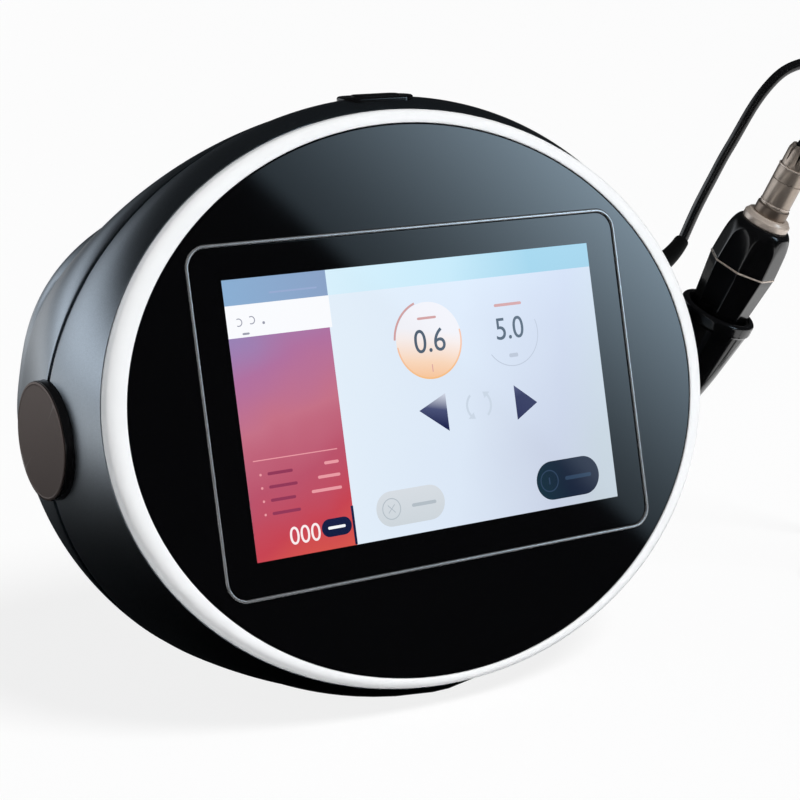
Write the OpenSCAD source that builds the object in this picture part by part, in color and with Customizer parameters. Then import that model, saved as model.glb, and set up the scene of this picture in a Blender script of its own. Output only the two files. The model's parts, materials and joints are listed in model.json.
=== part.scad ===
// Tabletop focused ultrasound machine: a drum housing with an oval touch-screen face,
// a side holder, and a corded handpiece that stands in the holder.
// Millimetres. +Z is up, +X is to the right of someone who faces the screen, +Y is backwards.
// The origin is the middle of the rubber base pad's underside, below the housing's parting line.

/* [Face] */
// Lean of the face back from upright, in degrees
face_lean = 13.7; // [10:0.1:17]
// Height of the middle of the face above the middle of the parting line's outline
face_lift = 7.6; // [6:0.1:9]
// Distance from the middle of the face back to the parting line
face_to_girth = 46; // [42:0.5:50]
// Half width of the glossy oval
face_half_w = 132.3; // [128:0.1:136]
// Half height of the glossy oval
face_half_h = 110.6; // [107:0.1:114]
// Thickness of the glossy oval plate
face_plate_t = 2.5; // [2:0.1:3.5]
// Width of the bezel ring at its sides
ring_side_w = 7.4; // [6:0.1:9]
// Width of the bezel ring at its top and bottom
ring_top_w = 4.8; // [4:0.1:6]
// How far the ring's outline sits above that of the glossy oval
ring_rise = 0.9; // [0:0.1:1.2]
// How far the ring's front slopes back to its outer edge
ring_fall = 2.9; // [2:0.1:3.5]
// Depth of the ring's side band
ring_band = 3.2; // [2:0.1:4.5]

/* [Touch panel] */
// Width of the touch panel
panel_w = 202; // [196:0.5:206]
// Height of the touch panel
panel_h = 136; // [130:0.5:138]
// Corner radius of the touch panel
panel_corner = 9; // [6:0.5:14]
// Height of the panel's middle above the middle of the face
panel_rise = 1.2; // [0:0.1:2]
// Width of the bright trim line round the panel
trim_w = 1.2; // [0.8:0.1:2]
// How far the trim stands out of the oval plate
trim_proud = 0.3; // [0.2:0.1:0.8]
// Thickness of the cover glass
glass_t = 1.8; // [1.2:0.1:2]
// Width of the display module
lcd_w = 184; // [180:0.5:188]
// Height of the display module
lcd_h = 120; // [116:0.5:124]

/* [Housing] */
// Half width of the housing at the parting line
girth_half_w = 146.9; // [144:0.1:150]
// Half height of the housing at the parting line
girth_half_h = 122.4; // [121:0.1:125]
// How much the flat underside cuts off the outline at the parting line
flat_cut = 10.5; // [9:0.1:12]
// Half width of the housing at its rear edge
rear_half_w = 131.4; // [128:0.1:134]
// Half height of the housing at its rear edge
rear_half_h = 88; // [86:0.1:91]
// Height of the middle of the rear face above the middle of the parting line's outline
rear_lift = 10.6; // [8:0.1:13]
// Distance from the parting line back to the rear edge
rear_depth = 60; // [56:0.5:66]
// Lean of the rear face forward from upright, in degrees
rear_lean = 22; // [20:0.5:24]
// Squareness of the rear outline, where 2 is an ellipse
rear_square = 2.62; // [2.4:0.02:2.8]
// Radius of the rear edge
rear_round = 14; // [11:0.5:16]
// Width of the flat rim round the rear panel
rear_rim_w = 6; // [5:0.5:8]
// Wall thickness of both shells
shell_wall = 3; // [2.5:0.1:3.5]
// Width of the groove between the two shells
parting_gap = 1.1; // [0.8:0.1:1.6]
// Length of the tongue that reaches into the rear shell
tongue_l = 5; // [3:0.5:7]
// Thickness of the rear panel
rear_panel_t = 2.5; // [2:0.1:3]
// Thickness of the rubber base pad
pad_t = 2.5; // [2:0.1:4]

/* [Side hubs] */
// Radius of the round side hubs
hub_r = 23.2; // [21:0.1:25]
// How far the hubs' outer faces stand beyond the housing's widest outline
hub_proud = 1.7; // [1:0.1:4]
// Thickness of the round cap
cap_t = 0.8; // [0.6:0.1:2]

/* [Power button] */
// Length of the button's bezel
bezel_l = 34; // [30:0.5:38]
// Width of the button's bezel
bezel_w = 13; // [12:0.5:14]
// How far the bezel stands above the housing
bezel_proud = 2.2; // [1.5:0.1:3]
// Length of the power button
button_l = 22; // [18:0.5:24]
// Width of the power button
button_w = 7; // [6:0.5:8]
// Travel of the power button
button_travel = 1.5; // [1:0.1:2]

/* [Holder and handpiece] */
// Distance of the holder's axis beyond the hub's outer face, at the arm's height
holder_out = 28.4; // [26:0.1:32]
// Lean of the handpiece towards the front, in degrees
holder_lean = 22; // [18:0.5:26]
// Lean of the handpiece away from the machine, in degrees
holder_splay = 14; // [12:0.5:18]
// Height of the cup's rim above the arm, along the handpiece
cup_rim = 22; // [20:0.5:24]
// Depth of the cup's bottom below the arm, along the handpiece
cup_drop = 25; // [23:0.5:28]
// Outer radius of the cup at its rim
cup_rim_r = 18; // [17.5:0.1:19.5]
// Outer radius of the cup at its bottom
cup_bottom_r = 10.6; // [10.4:0.1:11.5]
// Wall of the cup
cup_wall = 2.2; // [1.8:0.1:2.3]
// Thickness of the cup's rubber liner
liner_t = 1; // [0.8:0.1:1.2]
// Radius of the grip over its corners at the accent line
grip_r = 16; // [15:0.1:17]
// Radius of the grip over its corners at its lower end
grip_low_r = 10.8; // [10.4:0.1:10.9]
// Height of the accent line above the arm
accent_z = 45.5; // [42:0.5:49]
// Length of the bevelled shoulder above the accent line
shoulder_l = 21.5; // [18:0.5:24]
// Radius of the pale neck ring
neck_r = 11; // [10:0.1:12]
// Length of the pale neck ring
neck_l = 4.5; // [3.5:0.1:6]
// Radius of the neck sleeve
sleeve_r = 7; // [6.5:0.1:7.6]
// Length of the neck sleeve
sleeve_l = 24.5; // [20:0.5:28]
// Length of the slotted collet nut
collet_l = 10; // [8:0.5:12]

/* [Cable] */
// Diameter of the handpiece cable
cable_d = 5; // [4.6:0.1:5]
// Radius of the coil's outer turn, at the middle of the cable
coil_r = 33; // [32:0.5:36]
// Number of turns in the coil, half of them in each layer
coil_turns = 4; // [2:2:6]
// Distance between turns, and between layers
coil_pitch = 5.5; // [5.45:0.05:6]

/* [Rear panel parts] */
// Radius of the fan's air opening
fan_r = 22.5; // [21:0.1:23]
// Thickness of the fan
fan_t = 12; // [10:0.5:15]
// Radius of the fan's spindle
spindle_r = 2; // [1.5:0.1:2.5]
// Width of the power inlet's flange
inlet_w = 78; // [76:0.5:82]
// Height of the power inlet's flange
inlet_h = 34; // [32:0.5:36]
// Depth of the power inlet's body behind its flange
inlet_depth = 20; // [18:0.5:24]
// Radius of the footswitch socket's bore
jack_r = 3.25; // [3:0.05:3.5]
// Depth of the footswitch socket's bore
jack_depth = 16; // [14:0.5:18]

/* [Inside] */
// Half width of the chassis tray
tray_half_w = 40; // [36:1:42]
// Half width of the chassis upright
upright_half_w = 72; // [68:1:76]
// Thickness of the chassis sheet
plate_t = 2; // [1.5:0.1:2.5]
// Width of the power supply
supply_w = 90; // [80:1:96]
// Height of the power supply
supply_h = 76; // [70:1:80]
// Depth of the power supply
supply_d = 30; // [24:1:34]
// Width of the driver board
driver_w = 116; // [104:1:120]
// Height of the driver board
driver_h = 62; // [58:1:66]
// Side of the square heat sink
sink_l = 40; // [34:1:44]
// Height of the heat sink
sink_h = 11; // [8:0.5:14]
// Thickness of the circuit boards
board_t = 1.6; // [1:0.1:2]
// Radius of the speaker
speaker_r = 9; // [8:0.5:10]
// Height of the speaker
speaker_h = 5; // [4:0.5:6]
// Height of the posts behind the display
standoff_l = 8; // [6:0.5:10]
// Height of the posts behind the chassis upright
post_l = 6; // [4:0.5:8]

/* [Hidden] */

$fn = 64;
// Points round each outline of the housing
ring_pts = 72;
// Clearance where one fixed piece drops into another
fit = 0.15;
// Gap between pieces that move apart
run_gap = 0.3;
// Radial clearance of a turning shaft
shaft_gap = 0.06;
// Overlap that makes a cut run past a face
over = 1;

// Curves of the housing between its three outlines
front_curve_w = 1.8;
front_curve_h = 3.2;
rear_curve = 1.4;
// The shells' front edge stands this much outside the ring
ring_step = 0.7;
flange_w = 12;
flange_t = 2.5;

girth_height = pad_t + girth_half_h - flat_cut;
face_height = girth_height + face_lift;
rear_height = girth_height + rear_lift;
face_y = -face_to_girth;
ring_back = ring_fall + ring_band;
front_w = face_half_w + ring_side_w + ring_step;
front_h = face_half_h + ring_top_w + ring_step;
front_y = face_y + ring_rise * sin(face_lean) + ring_back * cos(face_lean);
front_z = face_height + ring_rise * cos(face_lean) - ring_back * sin(face_lean);
hub_z = girth_height;
hub_in = girth_half_w - 11.8;
hub_reach = girth_half_w + hub_proud;
holder_x = hub_reach + holder_out;
shell_top = girth_height + girth_half_h;

// Places of the face's layers, measured outwards from the oval's rim
plate_top = -0.3;
plate_back = plate_top - face_plate_t;
glass_top = plate_top - 0.3;
glass_back = glass_top - glass_t;
bracket_t = 1.5;
flange_back = -ring_back - flange_t;
lcd_front = min(glass_back, plate_back) - fit;
board_front = flange_back - bracket_t - standoff_l;

// Places of the rear panel's layers, measured outwards from the flat rim
panel_sink = 0.4;
panel_back = -panel_sink - rear_panel_t;
ledge_w = 5;
ledge_t = 2;
rear_open_w = rear_half_w - rear_round - rear_rim_w;
rear_open_h = rear_half_h - rear_round - rear_rim_w;
fan_at = [56, 2];
inlet_at = [-43, -30];
jack_at = [-62, 27];
socket_at = [-27, 3];
rocker_at = [24, 0];
rocker_r = 8.6;
rocker_w = 11;
rocker_pivot = -4.5;
rocker_face = 6.4;
rocker_tip = 8;
fuse_at = [-14, 11.2];
pin_pitch = 7;

// Chassis inside the housing
tray_front = -18;
plate_y = 14;
foot_half_w = tray_half_w - 14;
chassis_z = pad_t + shell_wall;
tray_screws = [for (x = [-1, 1], y = [-10, 8]) [x * (tray_half_w - 10), y]];
supply_z = chassis_z + 20.5;
driver_z = supply_z + supply_h + 13 + driver_h / 2;
plate_top_z = driver_z + driver_h / 2 + 1;

// Socket of the handpiece cable on the rear shell's right side
gland_y = 46;
gland_z = 140;
gland_r = 13;
gland_face = 141;
plug_r = 8.5;
plug_end = 163;
cable_r = cable_d / 2;

// Route of the boot, and of the two free runs of the cable
boot_route = [[163, 46, 140], [168, 46, 140], [173, 46, 140.5], [178, 46, 141.5],
    [183, 46, 143], [188, 45.5, 145], [192.5, 45.5, 147.5], [196.5, 45, 150.5],
    [200, 44.5, 154], [203, 44, 158]];
machine_route = [[203, 44, 158], [206, 42, 167], [208, 39.5, 174.5], [210.5, 37, 182],
    [213.5, 34.5, 190], [216.5, 32.5, 197.5], [219.5, 30, 204.5], [222.5, 27.5, 212],
    [226, 25.5, 219.5], [229.5, 23, 226.5], [234, 20.5, 233], [240, 18.5, 238.5],
    [247.5, 16, 241.5], [256, 14.5, 242.5], [264.5, 13.5, 241], [272.5, 13, 237],
    [279, 12.5, 231], [284, 12, 223.5], [288, 12, 214], [290.5, 12, 203],
    [291, 12, 189], [291, 12, 174], [291, 12, 159], [291, 12, 144], [291, 12, 129],
    [291, 12, 114], [291, 12, 99], [291, 12, 84], [291, 12, 69], [291, 12, 54],
    [291, 11.5, 41], [291, 9, 29], [291, 3.5, 18.5], [291, -4.5, 10.5], [291, -14, 5.5],
    [291, -24, 3.8], [291, -33, 3.8], [291, -43, 3.8]];
tail_route = [[291, -53.3, 9.3], [291, -59, 9.3], [291, -68, 10], [291, -77, 13],
    [291, -85, 18.5], [291, -91.5, 27], [291, -95.5, 37], [291, -97.5, 49],
    [291, -98.5, 61], [291, -99, 75], [291, -99, 89], [291, -99, 103],
    [291, -99, 117], [291, -99, 131], [291, -99, 145], [291, -99, 159],
    [290.5, -99, 173], [289, -98.5, 187], [287, -98, 200], [284, -97, 212.5],
    [279.5, -95.5, 224], [273, -93, 234.5], [265, -90, 243], [255.5, -86, 249.5],
    [245, -81, 253.5], [234, -74.5, 254], [224, -67.5, 250.5], [216, -60.5, 245],
    [210, -54, 237.5], [205.8, -48.3, 229], [203.5, -44.2, 220.6], [202.1, -42, 215.2]];
coil_at = [258, -48];
tie_t = 1;
tie_w = 10;
coil_z = tie_t + run_gap + cable_r;

// Grips of the handpiece, along its axis from the arm's height
grip_low = -2;
neck_z = accent_z + shoulder_l;
sleeve_z = neck_z + neck_l;
collet_z = sleeve_z + sleeve_l;
tail_z = collet_z + 16;
grip_bore = 7.5;
trigger_z = 32;
trigger_turn = 67.5;
trigger_r = 4;
trigger_travel = 1.2;
cart_top = grip_low - run_gap;
cart_r = 8.9;
cart_tip_r = 7.4;
cart_l = 14;

module in_face() translate([0, face_y, face_height]) rotate([90 - face_lean, 0, 0]) children();

// Frame of the rear panel: z points out of the machine, y up, and x towards the left side
module on_rear()
    translate([0, rear_depth + rear_round * cos(rear_lean), rear_height + rear_round * sin(rear_lean)])
    rotate([0, 0, 180]) rotate([90 - rear_lean, 0, 0]) children();

module on_holder() translate([holder_x, 0, hub_z]) rotate([holder_lean, holder_splay, 0]) children();

// Outline of a superellipse, where e = 2 is an ellipse
function lobe(c, e) = sign(c) * pow(abs(c), 2 / e);
function oval(a, b, e = 2) = [for (i = [0:ring_pts - 1]) let (t = 360 * i / ring_pts)
    [a * lobe(cos(t), e), b * lobe(sin(t), e)]];

// One outline of the housing: an oval on a tilted plane, cut flat at the given floor height
function outline(y, z, tilt, a, b, e, floor_z) =
    [for (p = oval(a, b, e)) [p[0], y - p[1] * sin(tilt), max(z + p[1] * cos(tilt), floor_z)]];

function mix(a, b, s) = a + (b - a) * s;

// Housing law: s runs from -1 at the front edge through 0 at the parting line to 1 at the rear edge
function skin(s, off = 0) = s < 0
    ? outline(mix(0, front_y, -s), mix(girth_height, front_z, -s), face_lean * s,
        mix(girth_half_w, front_w, pow(-s, front_curve_w)) - off,
        mix(girth_half_h, front_h, pow(-s, front_curve_h)) - off, 2, pad_t + off)
    : outline(mix(0, rear_depth, s), mix(girth_height, rear_height, s), rear_lean * s,
        mix(girth_half_w, rear_half_w, pow(s, rear_curve)) - off,
        mix(girth_half_h, rear_half_h, pow(s, rear_curve)) - off,
        mix(2, rear_square, s), pad_t + off);
function front_s(y) = -y / front_y;
function rear_s(y) = y / rear_depth;

// Outlines parallel to the front edge and to the rear edge
function front_rim(off, back) = outline(front_y + back * cos(face_lean),
    front_z - back * sin(face_lean), -face_lean, front_w - off, front_h - off, 2, pad_t + off);
function rear_rim(off, out) = outline(rear_depth + out * cos(rear_lean),
    rear_height + out * sin(rear_lean), rear_lean, rear_half_w - off, rear_half_h - off,
    rear_square, pad_t);

// Half width and place of the housing's flat underside at one station of the law
function floor_point(s) = let (
        a = mix(girth_half_w, s < 0 ? front_w : rear_half_w, pow(abs(s), s < 0 ? front_curve_w : rear_curve)),
        b = mix(girth_half_h, s < 0 ? front_h : rear_half_h, pow(abs(s), s < 0 ? front_curve_h : rear_curve)),
        e = s < 0 ? 2 : mix(2, rear_square, s),
        tilt = s < 0 ? face_lean * s : rear_lean * s,
        z = mix(girth_height, s < 0 ? front_z : rear_height, abs(s)) - pad_t,
        y = mix(0, s < 0 ? front_y : rear_depth, abs(s)) + z * tan(tilt),
        part = z / (b * cos(tilt)))
    part < 1 ? [[a * pow(1 - pow(part, e), 1 / e), y]] : [];
floor_line = [for (s = [-0.96:0.06:0.96]) each floor_point(s)];

// A closed skin through outlines that form a loop
module band(rings) {
    n = len(rings[0]);
    m = len(rings);
    polyhedron(points = [for (r = rings) each r],
        faces = [for (j = [0:m - 1], i = [0:n - 1]) let (k = (j + 1) % m, l = (i + 1) % n)
            each [[j * n + i, j * n + l, k * n + l], [j * n + i, k * n + l, k * n + i]]]);
}

// Sweep of a round section along points, with its frame carried from ring to ring
function unit(v) = v / norm(v);
function tangent(p, i) = unit(p[min(i + 1, len(p) - 1)] - p[max(i - 1, 0)]);
function square_to(u, t) = unit(u - (u * t) * t);
function sides(p, start) = [for (i = 0, u = square_to(start, tangent(p, 0)); i < len(p);
    i = i + 1, u = i < len(p) ? square_to(u, tangent(p, i)) : u) u];

module tube(p, radii, n, start) {
    m = len(p);
    u = sides(p, start);
    polyhedron(
        points = [for (i = [0:m - 1]) let (v = cross(tangent(p, i), u[i]))
            for (k = [0:n - 1]) p[i] + radii[i] * (cos(360 * k / n) * u[i] + sin(360 * k / n) * v)],
        faces = concat(
            [for (i = [0:m - 2], k = [0:n - 1]) let (l = (k + 1) % n)
                each [[i * n + k, (i + 1) * n + k, (i + 1) * n + l], [i * n + k, (i + 1) * n + l, i * n + l]]],
            [for (k = [1:n - 2]) [0, k, k + 1]],
            [for (k = [1:n - 2]) let (o = (m - 1) * n) [o, o + k + 1, o + k]]));
}

module rounded_plate(w, h, r, t) linear_extrude(t) {
    square([w - 2 * r, h], center = true);
    square([w, h - 2 * r], center = true);
    for (x = [-1, 1], y = [-1, 1]) translate([x * (w / 2 - r), y * (h / 2 - r)]) circle(r);
}

// A slot shape with round ends, l long in x and w wide
module pill(l, w, t) linear_extrude(t) {
    square([l - w, w], center = true);
    for (x = [-1, 1]) translate([x * (l - w) / 2, 0]) circle(w / 2);
}

// Cylinder along X between two distances from the middle plane
module along_x(r, x0, x1) translate([x0, 0, 0]) rotate([0, 90, 0]) cylinder(r = r, h = x1 - x0);

module hub_hole() for (side = [0, 1]) mirror([side, 0, 0]) translate([0, 0, hub_z])
    along_x(hub_r + fit, hub_in - 15, hub_reach + over);

module bezel_hole() translate([0, bezel_y, shell_top - 20]) pill(bezel_l + 2 * fit, bezel_w + 2 * fit, 40);
bezel_y = -2.5;
bezel_low = shell_top - 11;

// Screw with a round head: the head's underside is at z = 0 and the shank points down
module screw(head_r, head_h, shank_r, shank_l) {
    difference() {
        cylinder(r = head_r, h = head_h);
        translate([0, 0, head_h / 2]) cylinder(r = head_r * 0.45, h = head_h, $fn = 6);
    }
    translate([0, 0, -shank_l]) cylinder(r = shank_r, h = shank_l + head_h / 4);
}

module face_ring() color("white") in_face() {
    rim = function (a, b, rise, z) [for (p = oval(a, b)) [p[0], p[1] + rise, z]];
    a = face_half_w + ring_side_w;
    b = face_half_h + ring_top_w;
    seat = 2.6;
    band([
        rim(face_half_w, face_half_h, 0, 0),
        rim(face_half_w + ring_side_w * 0.35, face_half_h + ring_top_w * 0.35, ring_rise * 0.35, 0.15),
        rim(face_half_w + ring_side_w * 0.75, face_half_h + ring_top_w * 0.75, ring_rise * 0.75, -0.7),
        rim(a - 0.6, b - 0.4, ring_rise, -ring_fall * 0.7),
        rim(a, b, ring_rise, -ring_fall),
        rim(a + ring_step * 0.6, b + ring_step * 0.6, ring_rise, -ring_back),
        rim(face_half_w - seat, face_half_h - seat, 0, -ring_back),
        rim(face_half_w - seat, face_half_h - seat, 0, plate_back),
        rim(face_half_w, face_half_h, 0, plate_back)]);
}

module face_plate() color([0.02, 0.02, 0.025]) in_face() difference() {
    translate([0, 0, plate_back]) linear_extrude(face_plate_t)
        polygon(oval(face_half_w - fit, face_half_h - fit));
    translate([0, panel_rise, plate_back - over])
        rounded_plate(panel_w + 2 * fit, panel_h + 2 * fit, panel_corner + fit, face_plate_t + 2 * over);
}

module panel_trim() color([0.75, 0.75, 0.76]) in_face() translate([0, panel_rise, 0]) difference() {
    translate([0, 0, plate_back])
        rounded_plate(panel_w, panel_h, panel_corner, face_plate_t + trim_proud);
    translate([0, 0, plate_back - over])
        rounded_plate(panel_w - 2 * trim_w, panel_h - 2 * trim_w, panel_corner - trim_w,
            face_plate_t + trim_proud + 2 * over);
}

module touch_glass() color([0.03, 0.03, 0.04]) in_face() translate([0, panel_rise, glass_back])
    rounded_plate(panel_w - 2 * trim_w - 2 * fit, panel_h - 2 * trim_w - 2 * fit,
        panel_corner - trim_w - fit, glass_t);

module lcd_module() color([0.6, 0.75, 0.9]) in_face() translate([0, panel_rise, flange_back])
    rounded_plate(lcd_w, lcd_h, 2, lcd_front - flange_back);

// Oval carrier behind the shell's front flange, with a window behind the display
module lcd_bracket() color([0.6, 0.6, 0.62]) in_face() difference() {
    translate([0, ring_rise, flange_back - bracket_t]) linear_extrude(bracket_t)
        polygon(oval(front_w - flange_w + 4, front_h - flange_w + 4));
    translate([0, panel_rise, flange_back - bracket_t - over])
        rounded_plate(lcd_w * 0.7, lcd_h * 0.6, 5, bracket_t + 2 * over);
    for (p = board_posts) translate([p[0], p[1], flange_back - bracket_t - over])
        cylinder(r = 1.5, h = bracket_t + 2 * over);
}
board_posts = [for (x = [-1, 1], y = [-1, 1]) [x * (lcd_w * 0.35 + 8), y * (lcd_h * 0.3 + 8)]];

module front_shell() color([0.42, 0.46, 0.5]) difference() {
    edge = front_s(-parting_gap / 2);
    stations = [-1, -0.8, -0.6, -0.4, -0.2];
    band(concat(
        [for (s = stations) skin(s)],
        [skin(edge), skin(edge, shell_wall + 0.2), skin(rear_s(tongue_l), shell_wall + 0.2),
            skin(rear_s(tongue_l), shell_wall + 2.2), skin(front_s(-4), shell_wall + 2.2),
            skin(front_s(-7), shell_wall)],
        [for (i = [3:-1:1]) skin(stations[i], shell_wall)],
        [front_rim(shell_wall, flange_t), front_rim(flange_w, flange_t), front_rim(flange_w, 0)]));
    hub_hole();
    bezel_hole();
    tray_screw_holes();
    // The tongue stops where the tray lies
    translate([-tray_half_w - fit, -20, chassis_z]) cube([2 * (tray_half_w + fit), 40, 10]);
}

module tray_screw_holes() for (p = tray_screws) translate([p[0], p[1], -over])
    cylinder(r = screw_r + fit, h = pad_t + shell_wall + 2 * over);
screw_r = 1.7;

module rear_shell() color([0.42, 0.46, 0.5]) difference() {
    edge = rear_s(parting_gap / 2);
    stations = [0.05, 0.14, 0.27, 0.42, 0.57, 0.72, 0.86, 1];
    inner = panel_back - ledge_t;
    band(concat(
        [skin(edge)],
        [for (s = stations) skin(s)],
        [for (t = [22.5:22.5:90]) rear_rim(rear_round * (1 - cos(t)), rear_round * sin(t))],
        [for (p = [[0, 0], [0, panel_back], [ledge_w, panel_back], [ledge_w, inner]])
            rear_rim(rear_round + rear_rim_w + p[0], rear_round + p[1])],
        [rear_rim(rear_round * 0.4 + shell_wall, rear_round + inner),
            rear_rim(shell_wall + 0.8, rear_round * 0.3)],
        [for (i = [len(stations) - 1:-1:0]) skin(stations[i], shell_wall)],
        [skin(edge, shell_wall)]));
    hub_hole();
    bezel_hole();
    tray_screw_holes();
    on_rear() for (p = panel_screw_places()) translate([p[0], p[1], inner - over])
        cylinder(r = 1.6 + fit, h = ledge_t + 2 * over);
    translate([0, gland_y, gland_z]) along_x(gland_r + fit, gland_face - 30, gland_face + 10);
}

// Panel with holes for the fan, inlet, footswitch socket and air slots
module rear_panel() color([0.12, 0.12, 0.13]) on_rear() translate([0, 0, panel_back]) difference() {
    linear_extrude(rear_panel_t) polygon(oval(rear_open_w - fit, rear_open_h - fit, rear_square));
    translate([0, 0, -over]) {
        translate(fan_at) cylinder(r = fan_r, h = rear_panel_t + 2 * over);
        translate(inlet_at) rounded_plate(inlet_w - 4, inlet_h - 6, 2, rear_panel_t + 2 * over);
        translate(jack_at) cylinder(r = 6 + fit, h = rear_panel_t + 2 * over);
        for (i = [0:8]) translate([slots_at[0] + 7 * i, slots_at[1]]) rotate(90)
            pill(26, 3, rear_panel_t + 2 * over);
        for (p = panel_screw_places()) translate(p) cylinder(r = 1.6 + fit, h = rear_panel_t + 2 * over);
        for (p = fan_screw_places()) translate(p) cylinder(r = 1.4 + fit, h = rear_panel_t + 2 * over);
    }
}
slots_at = [-38, 36];
function panel_screw_places() = [for (t = [0, 47, 133, 180, 227, 313])
    [(rear_open_w - 3.2) * lobe(cos(t), rear_square), (rear_open_h - 3.2) * lobe(sin(t), rear_square)]];
function fan_screw_places() = [for (x = [-1, 1], y = [-1, 1]) fan_at + 20 * [x, y]];

module base_pad() color([0.08, 0.08, 0.08]) difference() {
    inset = 3;
    linear_extrude(pad_t) polygon(concat(
        [for (p = floor_line) [max(p[0] - inset, 4), p[1]]],
        [for (i = [len(floor_line) - 1:-1:0]) [-max(floor_line[i][0] - inset, 4), floor_line[i][1]]]));
    for (p = tray_screws) translate([p[0], p[1], -over]) cylinder(r = 4.2, h = pad_t + 2 * over);
}

module button_bezel() color([0.05, 0.05, 0.055]) difference() {
    union() {
        translate([0, bezel_y, bezel_low]) pill(bezel_l, bezel_w, shell_top + bezel_proud - 1 - bezel_low);
        translate([0, bezel_y, bezel_low]) pill(bezel_l - 2, bezel_w - 2, shell_top + bezel_proud - bezel_low);
    }
    translate([0, bezel_y, bezel_low + 2])
        pill(button_l + 2 * run_gap, button_w + 2 * run_gap, 40);
}

module power_button() color([0.1, 0.1, 0.11]) translate([0, bezel_y, 0]) {
    translate([0, 0, button_low]) pill(button_l, button_w, shell_top + bezel_proud + 0.2 - button_low);
    translate([0, 0, button_low]) pill(button_l - 1.6, button_w - 1.6, shell_top + bezel_proud + 0.7 - button_low);
}
button_low = bezel_low + 5.6 + button_travel;
plunger_top = button_low - button_travel - fit;

module button_switch() color([0.3, 0.3, 0.32]) translate([0, bezel_y, bezel_low + 2]) {
    translate([-3, -2.8, 0]) cube([6, 5.6, 3]);
    cylinder(r = 1.6, h = plunger_top - bezel_low - 2);
}

// Round hub insert, mirrored for the right side: rim outside and a clamping flange inside
module hub_ring() {
    difference() {
        union() {
            along_x(hub_r, hub_in, hub_reach - cap_t);
            along_x(hub_r + 3, hub_in, hub_in + 2.5);
        }
        along_x(hub_r - 6, hub_in - over, hub_reach - cap_t - 4);
    }
}

module left_hub_ring() color([0.04, 0.04, 0.045]) translate([0, 0, hub_z]) mirror([1, 0, 0]) hub_ring();

module left_hub_cap() color([0.25, 0.2, 0.19]) translate([-hub_reach + cap_t, 0, hub_z])
    rotate([0, -90, 0]) rotate_extrude() polygon([
        [0, 0], [hub_r - 0.2, 0], [hub_r - 0.2, cap_t - 0.4], [hub_r - 0.6, cap_t], [0, cap_t]]);

module right_hub_ring() color([0.04, 0.04, 0.045]) translate([0, 0, hub_z]) hub_ring();

// Outer form of the cup, grown by off, about the handpiece's axis
module cup_outside(off = 0) rotate_extrude() polygon([
    [0, -cup_drop - off], [cup_bottom_r - 2 + off, -cup_drop - off], [cup_bottom_r + off, -cup_drop + 1.6],
    [mix(cup_bottom_r, cup_rim_r, 0.35) + off, -cup_drop + 14],
    [cup_rim_r - 0.9 + off, cup_rim - 6.5], [cup_rim_r - 0.2 + off, cup_rim - 5.5],
    [cup_rim_r + off, cup_rim - 5], [cup_rim_r + off, cup_rim - 1 + off], [cup_rim_r - 1, cup_rim + off],
    [0, cup_rim + off]]);

// Hollow of the cup, shrunk by off
module cup_inside(off = 0) rotate_extrude() polygon([
    [0, -cup_drop + cup_wall + off], [cup_bottom_r - cup_wall - off, -cup_drop + cup_wall + off],
    [mix(cup_bottom_r, cup_rim_r, 0.35) - cup_wall - off, -cup_drop + 14],
    [cup_rim_r - cup_wall - 0.5 - off, cup_rim - 5], [cup_rim_r - cup_wall - 0.5 - off, cup_rim + over + 0.5 * off],
    [0, cup_rim + over + 0.5 * off]]);

module holder_arm() color([0.04, 0.04, 0.045]) difference() {
    translate([0, 0, hub_z]) {
        along_x(hub_r - 0.2, hub_reach - cap_t, hub_reach);
        along_x(12, hub_reach - cap_t, hub_reach + 3);
        along_x(8.5, hub_reach - cap_t, holder_x);
    }
    on_holder() cup_outside();
}

module holder_cup() color([0.05, 0.05, 0.055]) on_holder() difference() {
    cup_outside();
    cup_inside();
}

// Rubber sleeve in the cup, with the ledge that the grip's end stands on
module holder_liner() color([0.02, 0.02, 0.02]) on_holder() difference() {
    intersection() {
        cup_inside(fit);
        translate([0, 0, -cup_drop]) cylinder(r = 40, h = cup_drop + cup_rim - 1);
    }
    difference() {
        cup_inside(fit + liner_t);
        translate([0, 0, grip_low - 2 - run_gap]) cylinder(r = 40, h = 2);
    }
    translate([0, 0, grip_low - 2 - run_gap - over]) cylinder(r = cart_r + run_gap, h = 2 + 2 * over);
}

// Tray on the housing's floor with an upright that carries the power supply and driver board
module chassis_plate() color([0.7, 0.71, 0.72]) difference() {
    union() {
        translate([0, 0, chassis_z]) linear_extrude(plate_t) polygon([
            [-tray_half_w, tray_front], [tray_half_w, tray_front], [tray_half_w, plate_y - 2 * plate_t],
            [foot_half_w, plate_y + plate_t], [-foot_half_w, plate_y + plate_t],
            [-tray_half_w, plate_y - 2 * plate_t]]);
        translate([0, plate_y + plate_t, 0]) rotate([90, 0, 0]) linear_extrude(plate_t) polygon([
            [-foot_half_w, chassis_z], [foot_half_w, chassis_z], [tray_half_w, chassis_z + 8],
            [tray_half_w, chassis_z + 20], [upright_half_w, chassis_z + 50], [upright_half_w, plate_top_z],
            [-upright_half_w, plate_top_z], [-upright_half_w, chassis_z + 50],
            [-tray_half_w, chassis_z + 20], [-tray_half_w, chassis_z + 8]]);
    }
    for (p = tray_screws) translate([p[0], p[1], chassis_z - over]) cylinder(r = screw_r + fit, h = plate_t + 2 * over);
    for (p = driver_posts) translate([p[0], plate_y - over, p[1]]) rotate([-90, 0, 0])
        cylinder(r = 1.5, h = plate_t + 2 * over);
}
driver_posts = [for (x = [-1, 1], z = [-1, 1]) [x * (driver_w / 2 - 8), driver_z + z * (driver_h / 2 - 7)]];
driver_y = plate_y + plate_t + post_l;

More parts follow.
